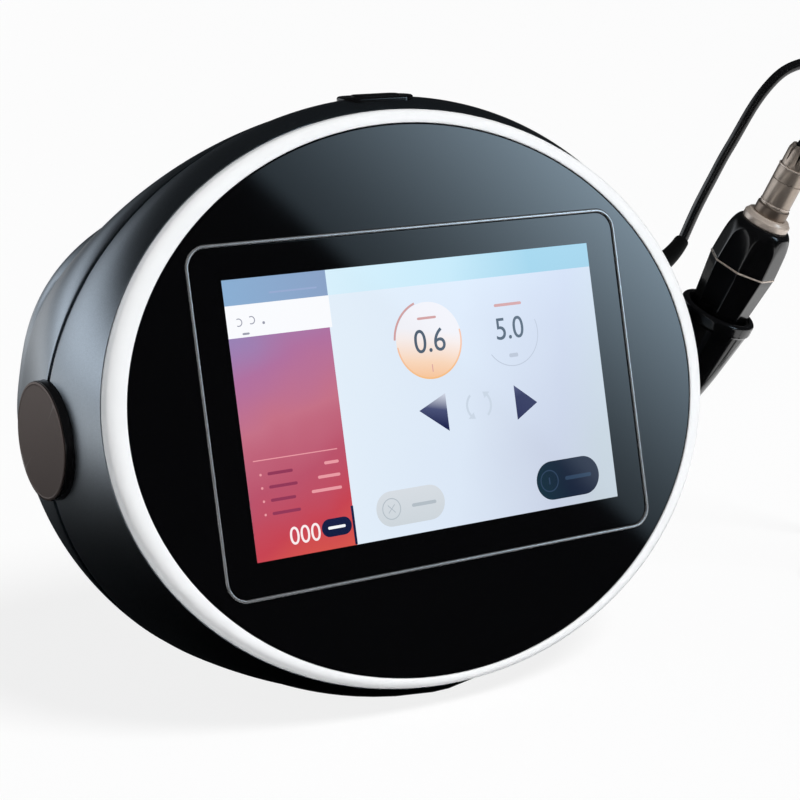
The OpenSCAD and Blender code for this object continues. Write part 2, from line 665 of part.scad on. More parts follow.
module board_standoffs() color([0.75, 0.7, 0.45]) {
    in_face() for (p = board_posts) translate([p[0], p[1], board_front]) difference() {
        cylinder(r = 3, h = standoff_l, $fn = 6);
        translate([0, 0, -over]) cylinder(r = 1.5, h = standoff_l + 2 * over);
    }
    for (p = driver_posts) translate([p[0], plate_y + plate_t, p[1]]) rotate([-90, 0, 0]) difference() {
        cylinder(r = 3, h = post_l, $fn = 6);
        translate([0, 0, -over]) cylinder(r = 1.5, h = post_l + 2 * over);
    }
}

module main_board() color([0.05, 0.3, 0.15]) in_face() translate([0, 0, board_front - board_t]) {
    difference() {
        linear_extrude(board_t) square([lcd_w * 0.7 + 28, lcd_h * 0.6 + 28], center = true);
        for (p = board_posts) translate([p[0], p[1], -over]) cylinder(r = 1.5, h = board_t + 2 * over);
    }
    for (c = [[-40, 15, 16, 16, 2], [0, 18, 22, 12, 3], [34, -12, 12, 24, 4], [-20, -22, 30, 8, 6]])
        translate([c[0], c[1], -c[4] / 2]) cube([c[2], c[3], c[4]], center = true);
}

module speaker() color([0.1, 0.1, 0.1]) in_face()
    translate([lcd_w * 0.3, lcd_h * 0.22, board_front - board_t - speaker_h]) cylinder(r = speaker_r, h = speaker_h);

module driver_board() color([0.05, 0.25, 0.3]) {
    difference() {
        translate([-driver_w / 2, driver_y, driver_z - driver_h / 2]) cube([driver_w, board_t, driver_h]);
        for (p = driver_posts) translate([p[0], driver_y - over, p[1]]) rotate([-90, 0, 0])
            cylinder(r = 1.5, h = board_t + 2 * over);
    }
    for (x = [-1, 1]) translate([x * (sink_l / 2 + 12), driver_y + board_t, driver_z]) rotate([-90, 0, 0])
        cylinder(r = 6, h = 9);
}

module heat_sink() color([0.6, 0.6, 0.62])
    translate([-sink_l / 2, driver_y + board_t, driver_z - sink_l / 2]) {
        fins = 8;
        cube([sink_l, 2.5, sink_l]);
        for (i = [0:fins - 1]) translate([i * (sink_l - 2) / (fins - 1), 0, 0]) cube([2, sink_h, sink_l]);
    }

module power_supply() color([0.8, 0.8, 0.82]) translate([-supply_w / 2, plate_y + plate_t, supply_z]) difference() {
    cube([supply_w, supply_d, supply_h]);
    slots = 10;
    for (i = [1:slots]) translate([supply_w / (slots + 1) * i - 1.5, supply_d - 2, 12])
        cube([3, 4, supply_h - 24]);
}

module board_screws() color([0.75, 0.75, 0.76]) {
    in_face() for (p = board_posts) translate([p[0], p[1], board_front - board_t]) rotate([180, 0, 0])
        screw(2.6, 1.8, 1.4, 6);
    for (p = driver_posts) translate([p[0], driver_y + board_t, p[1]]) rotate([-90, 0, 0])
        screw(2.6, 1.8, 1.4, 5);
}

module shell_screws() color([0.3, 0.3, 0.3]) for (p = tray_screws) translate([p[0], p[1], pad_t])
    rotate([180, 0, 0]) screw(3.4, 1.8, screw_r, shell_wall + plate_t + 1);

module panel_screws() color([0.2, 0.2, 0.2]) on_rear() {
    for (p = panel_screw_places()) translate([p[0], p[1], -panel_sink]) screw(2.6, 1.4, 1.6, rear_panel_t + ledge_t);
    for (p = fan_screw_places()) translate([p[0], p[1], -panel_sink + grille_t])
        screw(2.4, 1.4, 1.4, grille_t + rear_panel_t + 6);
}
grille_t = 2;

// Square fan frame with a round duct, three struts and the spindle
module fan_frame() color([0.08, 0.08, 0.08]) on_rear() translate([fan_at[0], fan_at[1], panel_back - fan_t]) {
    difference() {
        rounded_plate(2 * fan_r + 4, 2 * fan_r + 4, 3, fan_t);
        translate([0, 0, -over]) cylinder(r = fan_r + 0.5, h = fan_t + 2 * over);
        for (x = [-1, 1], y = [-1, 1]) translate([x * 20, y * 20, -over]) cylinder(r = 1.4 + fit, h = fan_t + 2 * over);
    }
    cylinder(r = 9, h = 1.6);
    for (i = [0:2]) rotate(120 * i + 30) translate([8, -1.5, 0]) cube([fan_r - 7, 3, 1.6]);
    cylinder(r = spindle_r, h = fan_t - 3);
}

module fan_rotor() color([0.12, 0.12, 0.12]) on_rear() translate([fan_at[0], fan_at[1], panel_back - fan_t])
    difference() {
        union() {
            translate([0, 0, 1.6 + run_gap]) cylinder(r = 9.5, h = fan_t - 3.5);
            for (i = [0:6]) rotate(360 / 7 * i) translate([9, 0, 1.6 + run_gap + (fan_t - 3.5) / 2])
                rotate([38, 0, 0]) translate([0, -4, -0.6]) cube([fan_r - 9.9, 8, 1.2]);
        }
        translate([0, 0, -over]) cylinder(r = spindle_r + shaft_gap, h = fan_t - 3 + run_gap + over);
    }

// Round finger guard: rings joined by a cross, with ears at the fan's screws
module fan_grille() color([0.35, 0.35, 0.36]) on_rear() translate([fan_at[0], fan_at[1], -panel_sink]) difference() {
    union() {
        for (r = [5.5:5.2:fan_r]) difference() {
            cylinder(r = r + 0.9, h = grille_t);
            translate([0, 0, -over]) cylinder(r = r - 0.9, h = grille_t + 2 * over);
        }
        for (a = [45, 135]) rotate(a) translate([-20 * sqrt(2), -1.1, 0]) cube([40 * sqrt(2), 2.2, grille_t]);
        for (x = [-1, 1], y = [-1, 1]) translate([x * 20, y * 20, 0]) cylinder(r = 3.4, h = grille_t);
    }
    for (x = [-1, 1], y = [-1, 1]) translate([x * 20, y * 20, -over]) cylinder(r = 1.4 + fit, h = grille_t + 2 * over);
}

module power_inlet() color([0.06, 0.06, 0.06]) on_rear() translate([inlet_at[0], inlet_at[1], -panel_sink]) difference() {
    union() {
        rounded_plate(inlet_w, inlet_h, 3, 2.2);
        translate([0, 0, -inlet_depth]) rounded_plate(inlet_w - 4 - 2 * fit, inlet_h - 6 - 2 * fit, 1.8,
            inlet_depth + 1);
    }
    // Socket recess, with one chamfered side, for the mains lead
    translate([socket_at[0] + 13, socket_at[1] - 6, -14]) linear_extrude(20) polygon([
        [-13, -7], [13, -7], [13, 3], [8, 8], [-8, 8], [-13, 3]]);
    translate([fuse_at[0], fuse_at[1] - 0.2, -12]) linear_extrude(20) square([20, 5], center = true);
    translate([rocker_at[0], rocker_at[1], 0]) {
        translate([-rocker_w / 2 - run_gap, -rocker_r - run_gap, -14])
            cube([rocker_w + 2 * run_gap, 2 * rocker_r + 2 * run_gap, 20]);
        translate([-rocker_w / 2 - 3, 0, rocker_pivot]) rotate([0, 90, 0]) cylinder(r = 1.5 + shaft_gap, h = rocker_w + 6);
    }
}

// Three flat contacts of the mains socket
module inlet_pins() color([0.8, 0.8, 0.8]) on_rear() translate([inlet_at[0] + socket_at[0] + 13, inlet_at[1] + socket_at[1] - 6, -14 - panel_sink]) {
    for (x = [-1, 1]) translate([x * pin_pitch - 1, -3, 0]) cube([2, 4, 11]);
    translate([-1, 1.5, 0]) cube([2, 4, 12]);
}

module fuse_drawer() color([0.1, 0.1, 0.1]) on_rear()
    translate([inlet_at[0] + fuse_at[0], inlet_at[1] + fuse_at[1] - 0.2, -panel_sink - 12 + run_gap]) {
        linear_extrude(14) square([20 - 2 * run_gap, 5 - 2 * run_gap], center = true);
        translate([0, 0, 13.8]) linear_extrude(1) square([8, 2], center = true);
    }

module rocker_switch() color([0.1, 0.1, 0.1]) on_rear()
    translate([inlet_at[0] + rocker_at[0], inlet_at[1] + rocker_at[1], -panel_sink + rocker_pivot])
    rotate([0, 90, 0]) rotate(rocker_tip) {
        difference() {
            intersection() {
                cylinder(r = rocker_r, h = rocker_w, center = true);
                translate([-10, -20, -10]) cube([18, 40, 20]);
            }
            // The two pressed faces meet in a shallow valley
            rotate(rocker_tip) translate([-20 - rocker_face, 0, -10]) cube([20, 20, 20]);
            rotate(-rocker_tip) translate([-20 - rocker_face, -20, -10]) cube([20, 20, 20]);
        }
        cylinder(r = 1.5, h = rocker_w + 5, center = true);
    }

module footswitch_socket() color([0.15, 0.15, 0.15]) on_rear() translate([jack_at[0], jack_at[1], -panel_sink]) difference() {
    union() {
        cylinder(r = 8, h = 1.6);
        translate([0, 0, -jack_depth - 1]) cylinder(r = 6, h = jack_depth + 2);
        translate([0, 0, -rear_panel_t - 3]) cylinder(r = 8, h = 3, $fn = 6);
    }
    translate([0, 0, 1.6 - jack_depth]) cylinder(r = jack_r, h = jack_depth + over);
}

module handpiece_socket() color([0.1, 0.1, 0.1]) translate([0, gland_y, gland_z]) difference() {
    along_x(gland_r, gland_face - 22, gland_face);
    along_x(plug_r - 2.5 + fit, gland_face - 12, gland_face + over);
}

// Knurled plug in the socket
module cable_plug() color([0.15, 0.15, 0.15]) translate([0, gland_y, gland_z]) {
    along_x(plug_r - 2.5, gland_face - 11, gland_face + 1);
    along_x(plug_r, gland_face, plug_end);
    for (i = [0:17]) rotate([20 * i, 0, 0]) translate([gland_face + 3, plug_r - 0.6, -0.7])
        cube([plug_end - gland_face - 8, 1.2, 1.4]);
}

module cable_boot() color([0.03, 0.03, 0.03])
    tube(boot_route, [for (i = [0:9]) mix(plug_r - 1.6, cable_r + 1, i / 9)], 12, [0, 1, 0]);

module cable_machine_run() color([0.05, 0.05, 0.05])
    tube(machine_route, [for (p = machine_route) cable_r], 8, [0, 1, 0]);

module cable_handpiece_run() color([0.05, 0.05, 0.05])
    tube(tail_route, [for (p = tail_route) cable_r], 8, [1, 0, 0]);

// The coil spirals in on the lower layer and out again on the upper one
function coil_point(t) = let (
        r = coil_r - coil_pitch * min(t, coil_turns - t),
        climb = min(max((t - coil_turns / 2) * 2 + 0.5, 0), 1))
    [coil_at[0] + r * cos(-360 * t), coil_at[1] + r * sin(-360 * t),
        coil_z + coil_pitch * climb * climb * (3 - 2 * climb)];
coil_steps = 24;
coil_points = concat(
    [coil_point(0) + [0, cable_d, 0]],
    [for (i = [0:coil_steps * coil_turns]) coil_point(i / coil_steps)],
    [coil_point(coil_turns) - [0, cable_d, 0]]);

// Least space between two stretches of the coil that lie more than half a turn apart
coil_gap = min([for (i = [1:len(coil_points) - 1], j = [i + coil_steps / 2:1:len(coil_points) - 1])
    norm(coil_points[i] - coil_points[j])]) - cable_d;
echo(coil_gap = coil_gap);

module cable_coil() color([0.05, 0.05, 0.05]) tube(coil_points, [for (p = coil_points) cable_r], 6, [0, 0, 1]);

// Hook-and-loop strap round the bundle of turns, on the side towards the machine
module coil_tie() color([0.1, 0.1, 0.1])
    translate([coil_at[0] - coil_r + coil_pitch * coil_turns / 4, coil_at[1] - tie_w / 2, coil_z + coil_pitch / 2])
    rotate([-90, 0, 0]) {
        height = coil_pitch + cable_d + 2 * run_gap;
        width = (coil_turns / 2 - 1) * coil_pitch + cable_d + 2 * run_gap;
        bow = tie_w * tie_w / 8 / (coil_r - coil_pitch * coil_turns / 2);
        difference() {
            translate([bow / 2, 0, 0]) rounded_plate(width + bow + 2 * tie_t, height + 2 * tie_t, cable_r + tie_t, tie_w);
            translate([bow / 2, 0, -over]) rounded_plate(width + bow, height, cable_r, tie_w + 2 * over);
        }
        translate([-width / 2 - 1.7 * tie_t, -height * 0.3, 0]) cube([tie_t, height * 0.6, tie_w]);
    }

module handpiece_boot() color([0.03, 0.03, 0.03]) on_holder() rotate_extrude() polygon([
    [0, collet_z], [4.4, collet_z], [4.2, collet_z + collet_l], [3.9, collet_z + collet_l + 1],
    [cable_r + 0.6, tail_z], [0, tail_z]]);

// Nut with slotted fingers that clamps the cable boot
module collet_nut() color([0.62, 0.58, 0.54]) on_holder() difference() {
    translate([0, 0, collet_z]) rotate_extrude() polygon([
        [4.6, 0], [sleeve_r - 0.6, 0], [sleeve_r - 0.4, 0.6], [sleeve_r - 0.4, collet_l - 2.5],
        [sleeve_r - 1.3, collet_l], [4.6, collet_l]]);
    for (i = [0:7]) rotate(45 * i) translate([3, -0.7, collet_z + 2.5]) cube([6, 1.4, collet_l]);
}

module neck_sleeve() color([0.58, 0.52, 0.47]) on_holder() translate([0, 0, sleeve_z]) rotate_extrude() polygon([
    [0, 0], [sleeve_r + 0.7, 0], [sleeve_r + 0.7, 4.6], [sleeve_r, 4.9], [sleeve_r, 5.5], [sleeve_r - 0.5, 5.5],
    [sleeve_r - 0.5, 6.3], [sleeve_r, 6.3], [sleeve_r, sleeve_l * 0.7], [sleeve_r - 0.35, sleeve_l * 0.7],
    [sleeve_r - 0.35, sleeve_l * 0.7 + 0.4], [sleeve_r, sleeve_l * 0.7 + 0.4], [sleeve_r, sleeve_l - 0.9],
    [sleeve_r - 0.5, sleeve_l - 0.9], [sleeve_r - 0.5, sleeve_l], [0, sleeve_l]]);

// Two bright bands let into the sleeve
module sleeve_bands() color([0.92, 0.87, 0.82]) on_holder() for (z = [5.5, sleeve_l - 0.9])
    translate([0, 0, sleeve_z + z + 0.05]) difference() {
        cylinder(r = sleeve_r + 0.2, h = 0.7);
        translate([0, 0, -over]) cylinder(r = sleeve_r - 0.5 + 0.02, h = 0.7 + 2 * over);
    }

module neck_ring() color([0.9, 0.84, 0.78]) on_holder() translate([0, 0, neck_z]) rotate_extrude() polygon([
    [0, 0], [neck_r - 0.5, 0], [neck_r, 0.5], [neck_r, neck_l - 1.6], [neck_r - 1.3, neck_l], [0, neck_l]]);

// Eight flats that run out under a dome, so that each one ends in a round tongue
module shoulder() color([0.03, 0.03, 0.035]) on_holder() translate([0, 0, accent_z]) intersection() {
    cylinder(r1 = grip_r, r2 = grip_r - 1.2, h = shoulder_l, $fn = 8);
    rotate_extrude() polygon(concat([[0, 0]],
        [for (t = [0:15:90]) [neck_r + 0.2 + (grip_r - neck_r) * cos(t), shoulder_l * sin(t)]],
        [[0, shoulder_l]]));
}

module accent_line() color([0.9, 0.87, 0.83]) on_holder() translate([0, 0, accent_z - 0.8])
    cylinder(r = grip_r + 0.15, h = 0.8, $fn = 8);

// Eight-sided grip, bored for the drive motor and the cartridge's spigot
module grip() color([0.03, 0.03, 0.035]) on_holder() difference() {
    translate([0, 0, grip_low]) cylinder(r1 = grip_low_r, r2 = grip_r - 0.1, h = accent_z - 0.8 - grip_low, $fn = 8);
    translate([0, 0, grip_low - over]) cylinder(r = grip_bore, h = accent_z - 4 - grip_low);
    trigger_way(trigger_r + run_gap, grip_bore - 2, 20);
}

// Cylinder that points out through one flat of the grip
module trigger_way(r, from, to) rotate(trigger_turn) translate([from, 0, trigger_z]) rotate([0, 90, 0])
    cylinder(r = r, h = to - from);

module drive_motor() color([0.7, 0.7, 0.72]) on_holder() {
    translate([0, 0, 10]) cylinder(r = grip_bore - fit, h = 14);
    translate([0, 0, 24]) cylinder(r = grip_bore - 2.2, h = accent_z - 5.2 - 24);
}

module trigger_button() color([0.55, 0.5, 0.46]) on_holder() {
    trigger_way(trigger_r, grip_bore + trigger_travel - 0.9, trigger_face - 0.4);
    trigger_way(trigger_r - 0.5, grip_bore + trigger_travel - 0.9, trigger_face);
}
trigger_face = mix(grip_low_r, grip_r, (trigger_z - grip_low) / (accent_z - grip_low)) * cos(22.5) + 1.4;

// Transducer cartridge: spigot in the grip's bore, collar, and a hollow nose
module cartridge_body() color([0.9, 0.9, 0.9]) on_holder() difference() {
    rotate_extrude() polygon([
        [0, cart_top - 3], [0, cart_top + 9], [grip_bore - shaft_gap - 0.6, cart_top + 9],
        [grip_bore - shaft_gap, cart_top + 8.4], [grip_bore - shaft_gap, cart_top], [cart_r, cart_top],
        [cart_r, cart_top - 4], [cart_tip_r, cart_top - cart_l], [cart_tip_r - 1.4, cart_top - cart_l],
        [cart_tip_r - 1.4, cart_top - 3]]);
}

// Concave transducer in the cartridge's hollow
module piezo_bowl() color([0.75, 0.6, 0.3]) on_holder() translate([0, 0, cart_top - 3 - 0.2]) difference() {
    translate([0, 0, -3]) cylinder(r = cart_tip_r - 1.4 - fit, h = 3);
    translate([0, 0, -9]) sphere(r = 8);
}

module cartridge_membrane() color([0.8, 0.85, 0.9]) on_holder() translate([0, 0, cart_top - cart_l]) {
    translate([0, 0, -0.1]) cylinder(r = cart_tip_r - 1.4 - fit, h = 1.2);
    translate([0, 0, -0.8]) cylinder(r = cart_tip_r, h = 0.8);
}

face_ring();
face_plate();
panel_trim();
touch_glass();
lcd_module();
lcd_bracket();
front_shell();
rear_shell();
rear_panel();
base_pad();
button_bezel();
power_button();
button_switch();
left_hub_ring();
left_hub_cap();
right_hub_ring();
holder_arm();
holder_cup();
holder_liner();
chassis_plate();
board_standoffs();
main_board();
speaker();
driver_board();
heat_sink();
power_supply();
board_screws();
shell_screws();
panel_screws();
fan_frame();
fan_rotor();
fan_grille();
power_inlet();
inlet_pins();
fuse_drawer();
rocker_switch();
footswitch_socket();
handpiece_socket();
cable_plug();
cable_boot();
cable_machine_run();
cable_coil();
coil_tie();
cable_handpiece_run();
handpiece_boot();
collet_nut();
neck_sleeve();
sleeve_bands();
neck_ring();
shoulder();
accent_line();
grip();
drive_motor();
trigger_button();
cartridge_body();
piezo_bowl();
cartridge_membrane();
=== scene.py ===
"""Studio dressing of a tabletop focused ultrasound machine.

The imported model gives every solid. This script gives the visible ones their finish, and replaces
those whose real surface is smoother or finer than the solid. Lengths in the classes are in
millimetres, in the frame of the model: +X right, +Y back, +Z up, origin under the base pad.
"""
from __future__ import annotations

import json
import logging
import math
from contextlib import contextmanager
from dataclasses import dataclass, field
from enum import Enum
from typing import Callable, Iterable, Iterator, Sequence

import bmesh
import bpy
import numpy as np
from mathutils import Matrix, Vector
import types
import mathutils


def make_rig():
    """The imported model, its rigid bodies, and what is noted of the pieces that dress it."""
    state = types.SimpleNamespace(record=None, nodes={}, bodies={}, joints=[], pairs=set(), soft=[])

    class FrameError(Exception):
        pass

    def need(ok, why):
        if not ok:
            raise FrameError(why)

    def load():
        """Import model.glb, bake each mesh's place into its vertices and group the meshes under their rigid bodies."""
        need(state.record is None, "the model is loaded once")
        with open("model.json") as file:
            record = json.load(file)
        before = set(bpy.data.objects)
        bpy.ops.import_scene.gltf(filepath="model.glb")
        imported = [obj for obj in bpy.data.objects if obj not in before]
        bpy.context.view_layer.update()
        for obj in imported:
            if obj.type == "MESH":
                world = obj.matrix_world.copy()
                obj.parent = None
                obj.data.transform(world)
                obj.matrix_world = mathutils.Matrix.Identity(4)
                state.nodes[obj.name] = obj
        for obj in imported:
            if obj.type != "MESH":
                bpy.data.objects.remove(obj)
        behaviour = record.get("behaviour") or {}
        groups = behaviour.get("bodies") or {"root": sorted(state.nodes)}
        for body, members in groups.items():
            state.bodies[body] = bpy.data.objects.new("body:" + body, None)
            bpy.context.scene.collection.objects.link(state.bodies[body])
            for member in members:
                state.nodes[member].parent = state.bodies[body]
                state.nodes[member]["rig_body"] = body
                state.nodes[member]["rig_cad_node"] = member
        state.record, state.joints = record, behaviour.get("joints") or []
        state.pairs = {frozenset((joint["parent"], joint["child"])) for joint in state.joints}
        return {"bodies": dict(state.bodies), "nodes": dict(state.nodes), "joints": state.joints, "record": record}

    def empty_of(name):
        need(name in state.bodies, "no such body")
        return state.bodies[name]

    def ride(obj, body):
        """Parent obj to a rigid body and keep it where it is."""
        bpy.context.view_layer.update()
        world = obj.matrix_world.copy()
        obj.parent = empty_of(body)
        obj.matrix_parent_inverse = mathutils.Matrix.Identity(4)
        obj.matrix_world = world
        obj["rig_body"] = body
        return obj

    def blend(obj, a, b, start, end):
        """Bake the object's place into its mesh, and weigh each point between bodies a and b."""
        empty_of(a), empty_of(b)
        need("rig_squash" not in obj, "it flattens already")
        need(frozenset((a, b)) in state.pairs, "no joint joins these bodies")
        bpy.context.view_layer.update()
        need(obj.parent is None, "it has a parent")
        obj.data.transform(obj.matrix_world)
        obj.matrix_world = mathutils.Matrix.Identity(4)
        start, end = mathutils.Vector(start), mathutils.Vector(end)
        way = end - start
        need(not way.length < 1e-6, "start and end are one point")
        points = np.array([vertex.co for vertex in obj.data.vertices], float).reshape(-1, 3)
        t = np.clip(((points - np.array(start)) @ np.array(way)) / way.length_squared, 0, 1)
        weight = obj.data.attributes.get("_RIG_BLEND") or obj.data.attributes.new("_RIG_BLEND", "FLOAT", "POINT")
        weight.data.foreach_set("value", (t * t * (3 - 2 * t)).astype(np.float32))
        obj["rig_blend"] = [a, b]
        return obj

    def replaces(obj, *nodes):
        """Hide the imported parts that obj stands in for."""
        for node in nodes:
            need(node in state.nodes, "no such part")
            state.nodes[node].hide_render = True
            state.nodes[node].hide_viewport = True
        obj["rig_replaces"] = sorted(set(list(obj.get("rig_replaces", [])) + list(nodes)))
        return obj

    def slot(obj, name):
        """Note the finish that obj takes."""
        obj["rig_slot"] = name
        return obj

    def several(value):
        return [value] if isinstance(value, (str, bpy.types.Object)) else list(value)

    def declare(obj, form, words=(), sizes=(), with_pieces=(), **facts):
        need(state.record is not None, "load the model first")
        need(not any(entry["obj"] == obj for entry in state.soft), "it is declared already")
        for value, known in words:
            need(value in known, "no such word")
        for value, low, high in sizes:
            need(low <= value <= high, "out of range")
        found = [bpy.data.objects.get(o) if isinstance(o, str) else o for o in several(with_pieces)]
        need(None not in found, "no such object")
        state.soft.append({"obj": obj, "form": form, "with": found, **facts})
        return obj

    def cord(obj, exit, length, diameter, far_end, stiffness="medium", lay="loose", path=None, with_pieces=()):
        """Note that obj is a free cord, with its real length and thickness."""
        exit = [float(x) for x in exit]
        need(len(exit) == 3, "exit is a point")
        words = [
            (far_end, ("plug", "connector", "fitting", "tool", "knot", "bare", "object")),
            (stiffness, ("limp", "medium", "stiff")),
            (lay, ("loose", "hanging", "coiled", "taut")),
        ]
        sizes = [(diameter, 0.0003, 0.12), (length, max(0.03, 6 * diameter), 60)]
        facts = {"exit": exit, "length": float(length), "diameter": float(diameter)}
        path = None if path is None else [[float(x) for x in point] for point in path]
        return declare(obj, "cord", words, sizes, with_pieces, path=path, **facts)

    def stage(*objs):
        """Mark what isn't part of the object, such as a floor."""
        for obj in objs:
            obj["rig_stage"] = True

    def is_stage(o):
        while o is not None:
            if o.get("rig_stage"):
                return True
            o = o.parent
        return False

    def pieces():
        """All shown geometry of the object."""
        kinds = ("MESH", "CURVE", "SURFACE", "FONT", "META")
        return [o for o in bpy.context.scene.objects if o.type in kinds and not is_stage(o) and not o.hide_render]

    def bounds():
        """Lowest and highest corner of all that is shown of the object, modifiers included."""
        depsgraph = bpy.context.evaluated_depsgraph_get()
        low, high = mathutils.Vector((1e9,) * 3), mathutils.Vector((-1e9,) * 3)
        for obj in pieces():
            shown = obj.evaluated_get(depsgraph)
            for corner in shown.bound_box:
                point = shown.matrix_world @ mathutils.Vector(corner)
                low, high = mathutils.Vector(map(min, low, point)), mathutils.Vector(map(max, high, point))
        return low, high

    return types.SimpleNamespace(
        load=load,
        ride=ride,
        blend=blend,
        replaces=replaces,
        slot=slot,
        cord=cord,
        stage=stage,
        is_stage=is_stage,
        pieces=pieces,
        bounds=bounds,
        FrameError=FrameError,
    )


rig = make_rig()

MM = 0.001
IMAGE_PX = 800
SIZE_FILE = "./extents.json"
SHARP_DEG = 32.0
SOFT_SHARP_DEG = 38.0
EDGE_STEPS = 3
QUARTER_TURN = 90.0

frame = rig.load()
cad_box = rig.bounds()

log = logging.getLogger("dressing")

Piece = bpy.types.Object
Material = bpy.types.Material
Tree = bpy.types.NodeTree
Node = bpy.types.Node
Wire = bpy.types.NodeSocket
Point = tuple[float, float, float]
Flat = tuple[float, float]
Colour = tuple[float, float, float]
Place = Callable[[float, float, float], Vector]


class Body(str, Enum):
    """The rigid bodies of the machine that new pieces ride on."""

    ROOT = "root"
    POWER_BUTTON = "power_button"
    HANDPIECE = "handpiece"
    CARTRIDGE = "cartridge"
    TRIGGER = "trigger"


class Socket(str, Enum):
    """Socket types of a node group's interface."""

    FLOAT = "NodeSocketFloat"
    COLOUR = "NodeSocketColor"
    INT = "NodeSocketInt"
    GEOMETRY = "NodeSocketGeometry"
    MATERIAL = "NodeSocketMaterial"


# Finishes

def new_socket(tree: Tree, name: str, kind: Socket, output: bool = False) -> None:
    """Add one input, or one output, to a node group's interface."""
    tree.interface.new_socket(name=name, in_out="OUTPUT" if output else "INPUT",
                              socket_type=kind.value)


def feed(tree: Tree, node: Node, inputs: dict[str | int, object]) -> Node:
    """Give a node's inputs their values, or link them where the value is a socket.

    Args:
        tree: The node's tree.
        node: The node.
        inputs: A value or a socket for each input, by its name or number.

    Returns:
        The node.
    """
    for name, value in inputs.items():
        if isinstance(value, Wire):
            tree.links.new(value, node.inputs[name])
        else:
            node.inputs[name].default_value = value
    return node


def add_node(tree: Tree, kind: str, inputs: dict[str | int, object] | None = None,
             **settings: object) -> Node:
    """Add a node.

    Args:
        tree: The tree that gets it.
        kind: The node's type.
        inputs: What feed gives its inputs.
        settings: The node's own settings.

    Returns:
        The node.
    """
    made = tree.nodes.new(kind)
    for name, value in settings.items():
        setattr(made, name, value)
    return feed(tree, made, inputs or {})


def new_material(name: str) -> tuple[Material, Tree]:
    """Make a material with nodes.

    Args:
        name: Its name.

    Returns:
        The material and its tree.
    """
    made = bpy.data.materials.new(name)
    made.use_nodes = True
    return made, made.node_tree


def maths(tree: Tree, operation: str, first: object, second: object) -> Wire:
    """Return what a new Math node makes of two sockets or numbers."""
    return add_node(tree, "ShaderNodeMath", {0: first, 1: second}, operation=operation).outputs[0]


def dot(tree: Tree, place: Wire, way: Sequence[float]) -> Wire:
    """Return how far a place lies along a direction."""
    return add_node(tree, "ShaderNodeVectorMath", {0: place, 1: way},
                    operation="DOT_PRODUCT").outputs["Value"]


def own_place(tree: Tree) -> Wire:
    """Return the Object coordinates."""
    return add_node(tree, "ShaderNodeTexCoord").outputs["Object"]


def fade(tree: Tree, value: Wire, low: float, high: float, top: float = 1.0,
         bend: str = "SMOOTHSTEP") -> Wire:
    """Return a share that runs from 0, where the value is low, to top, where it is high."""
    return add_node(tree, "ShaderNodeMapRange", {"Value": value, "From Min": low, "From Max": high,
                                                 "To Max": top},
                    interpolation_type=bend).outputs["Result"]


def noise(tree: Tree, place: Wire, scale: object, detail: float) -> Wire:
    """Return a noise from about -0.5 to 0.5, whose scale is in cells per metre."""
    made = add_node(tree, "ShaderNodeTexNoise", {"Vector": place, "Scale": scale, "Detail": detail})
    return maths(tree, "SUBTRACT", made.outputs["Fac"], 0.5)


class SurfaceBreakup:
    """Shader group for the small unevenness of moulded, painted and machined surfaces.

    It varies the colour and the roughness slowly, adds a fine grain height and metallic flakes,
    and lightens worn edges. All of it reads Object coordinates, so its scale is real.
    """

    NAME = "surface_breakup"
    CLOUDS_PER_M = 28.0
    FLAKES_PER_M = 5200.0
    WORN_POINTINESS = (0.52, 0.64)
    WORN_COLOUR = (0.75, 0.75, 0.76, 1)

    @classmethod
    def tree(cls) -> Tree:
        """Return the group, built on first use."""
        return bpy.data.node_groups.get(cls.NAME) or cls._build()

    @classmethod
    def _build(cls) -> Tree:
        """Build the group's nodes.

        Returns:
            The group.
        """
        tree = bpy.data.node_groups.new(cls.NAME, "ShaderNodeTree")
        new_socket(tree, "Colour", Socket.COLOUR)
        for name in ("Roughness", "Grain Scale", "Tone Spread", "Roughness Spread", "Edge Wear",
                     "Flakes"):
            new_socket(tree, name, Socket.FLOAT)
        new_socket(tree, "Colour", Socket.COLOUR, output=True)
        for name in ("Roughness", "Height"):
            new_socket(tree, name, Socket.FLOAT, output=True)
        given, place = add_node(tree, "NodeGroupInput").outputs, own_place(tree)
        grain = noise(tree, place, given["Grain Scale"], 3.0)
        cloud = noise(tree, place, cls.CLOUDS_PER_M, 4.0)
        cells = add_node(tree, "ShaderNodeTexVoronoi", {"Vector": place, "Scale": cls.FLAKES_PER_M})
        sparkle = add_node(tree, "ShaderNodeSeparateColor", {0: cells.outputs["Color"]}).outputs[0]
        sparkle = maths(tree, "MULTIPLY", maths(tree, "SUBTRACT", sparkle, 0.5), given["Flakes"])
        tone = maths(tree, "MULTIPLY", maths(tree, "ADD", cloud, grain), given["Tone Spread"])
        tone = maths(tree, "ADD", maths(tree, "ADD", tone, sparkle), 1.0)
        shaded = add_node(tree, "ShaderNodeVectorMath", {0: given["Colour"], "Scale": tone},
                          operation="SCALE").outputs[0]
        pointed = add_node(tree, "ShaderNodeNewGeometry").outputs["Pointiness"]
        worn = fade(tree, pointed, *cls.WORN_POINTINESS, bend="LINEAR")
        worn = maths(tree, "MULTIPLY", worn, given["Edge Wear"])
        lighter = add_node(tree, "ShaderNodeMix", {"Factor": worn, "A": shaded,
                                                   "B": cls.WORN_COLOUR}, data_type="RGBA")
        spread = maths(tree, "MULTIPLY", cloud, given["Roughness Spread"])
        add_node(tree, "NodeGroupOutput", {
            "Colour": lighter.outputs["Result"], "Height": grain,
            "Roughness": maths(tree, "ADD", spread, given["Roughness"])})
        return tree


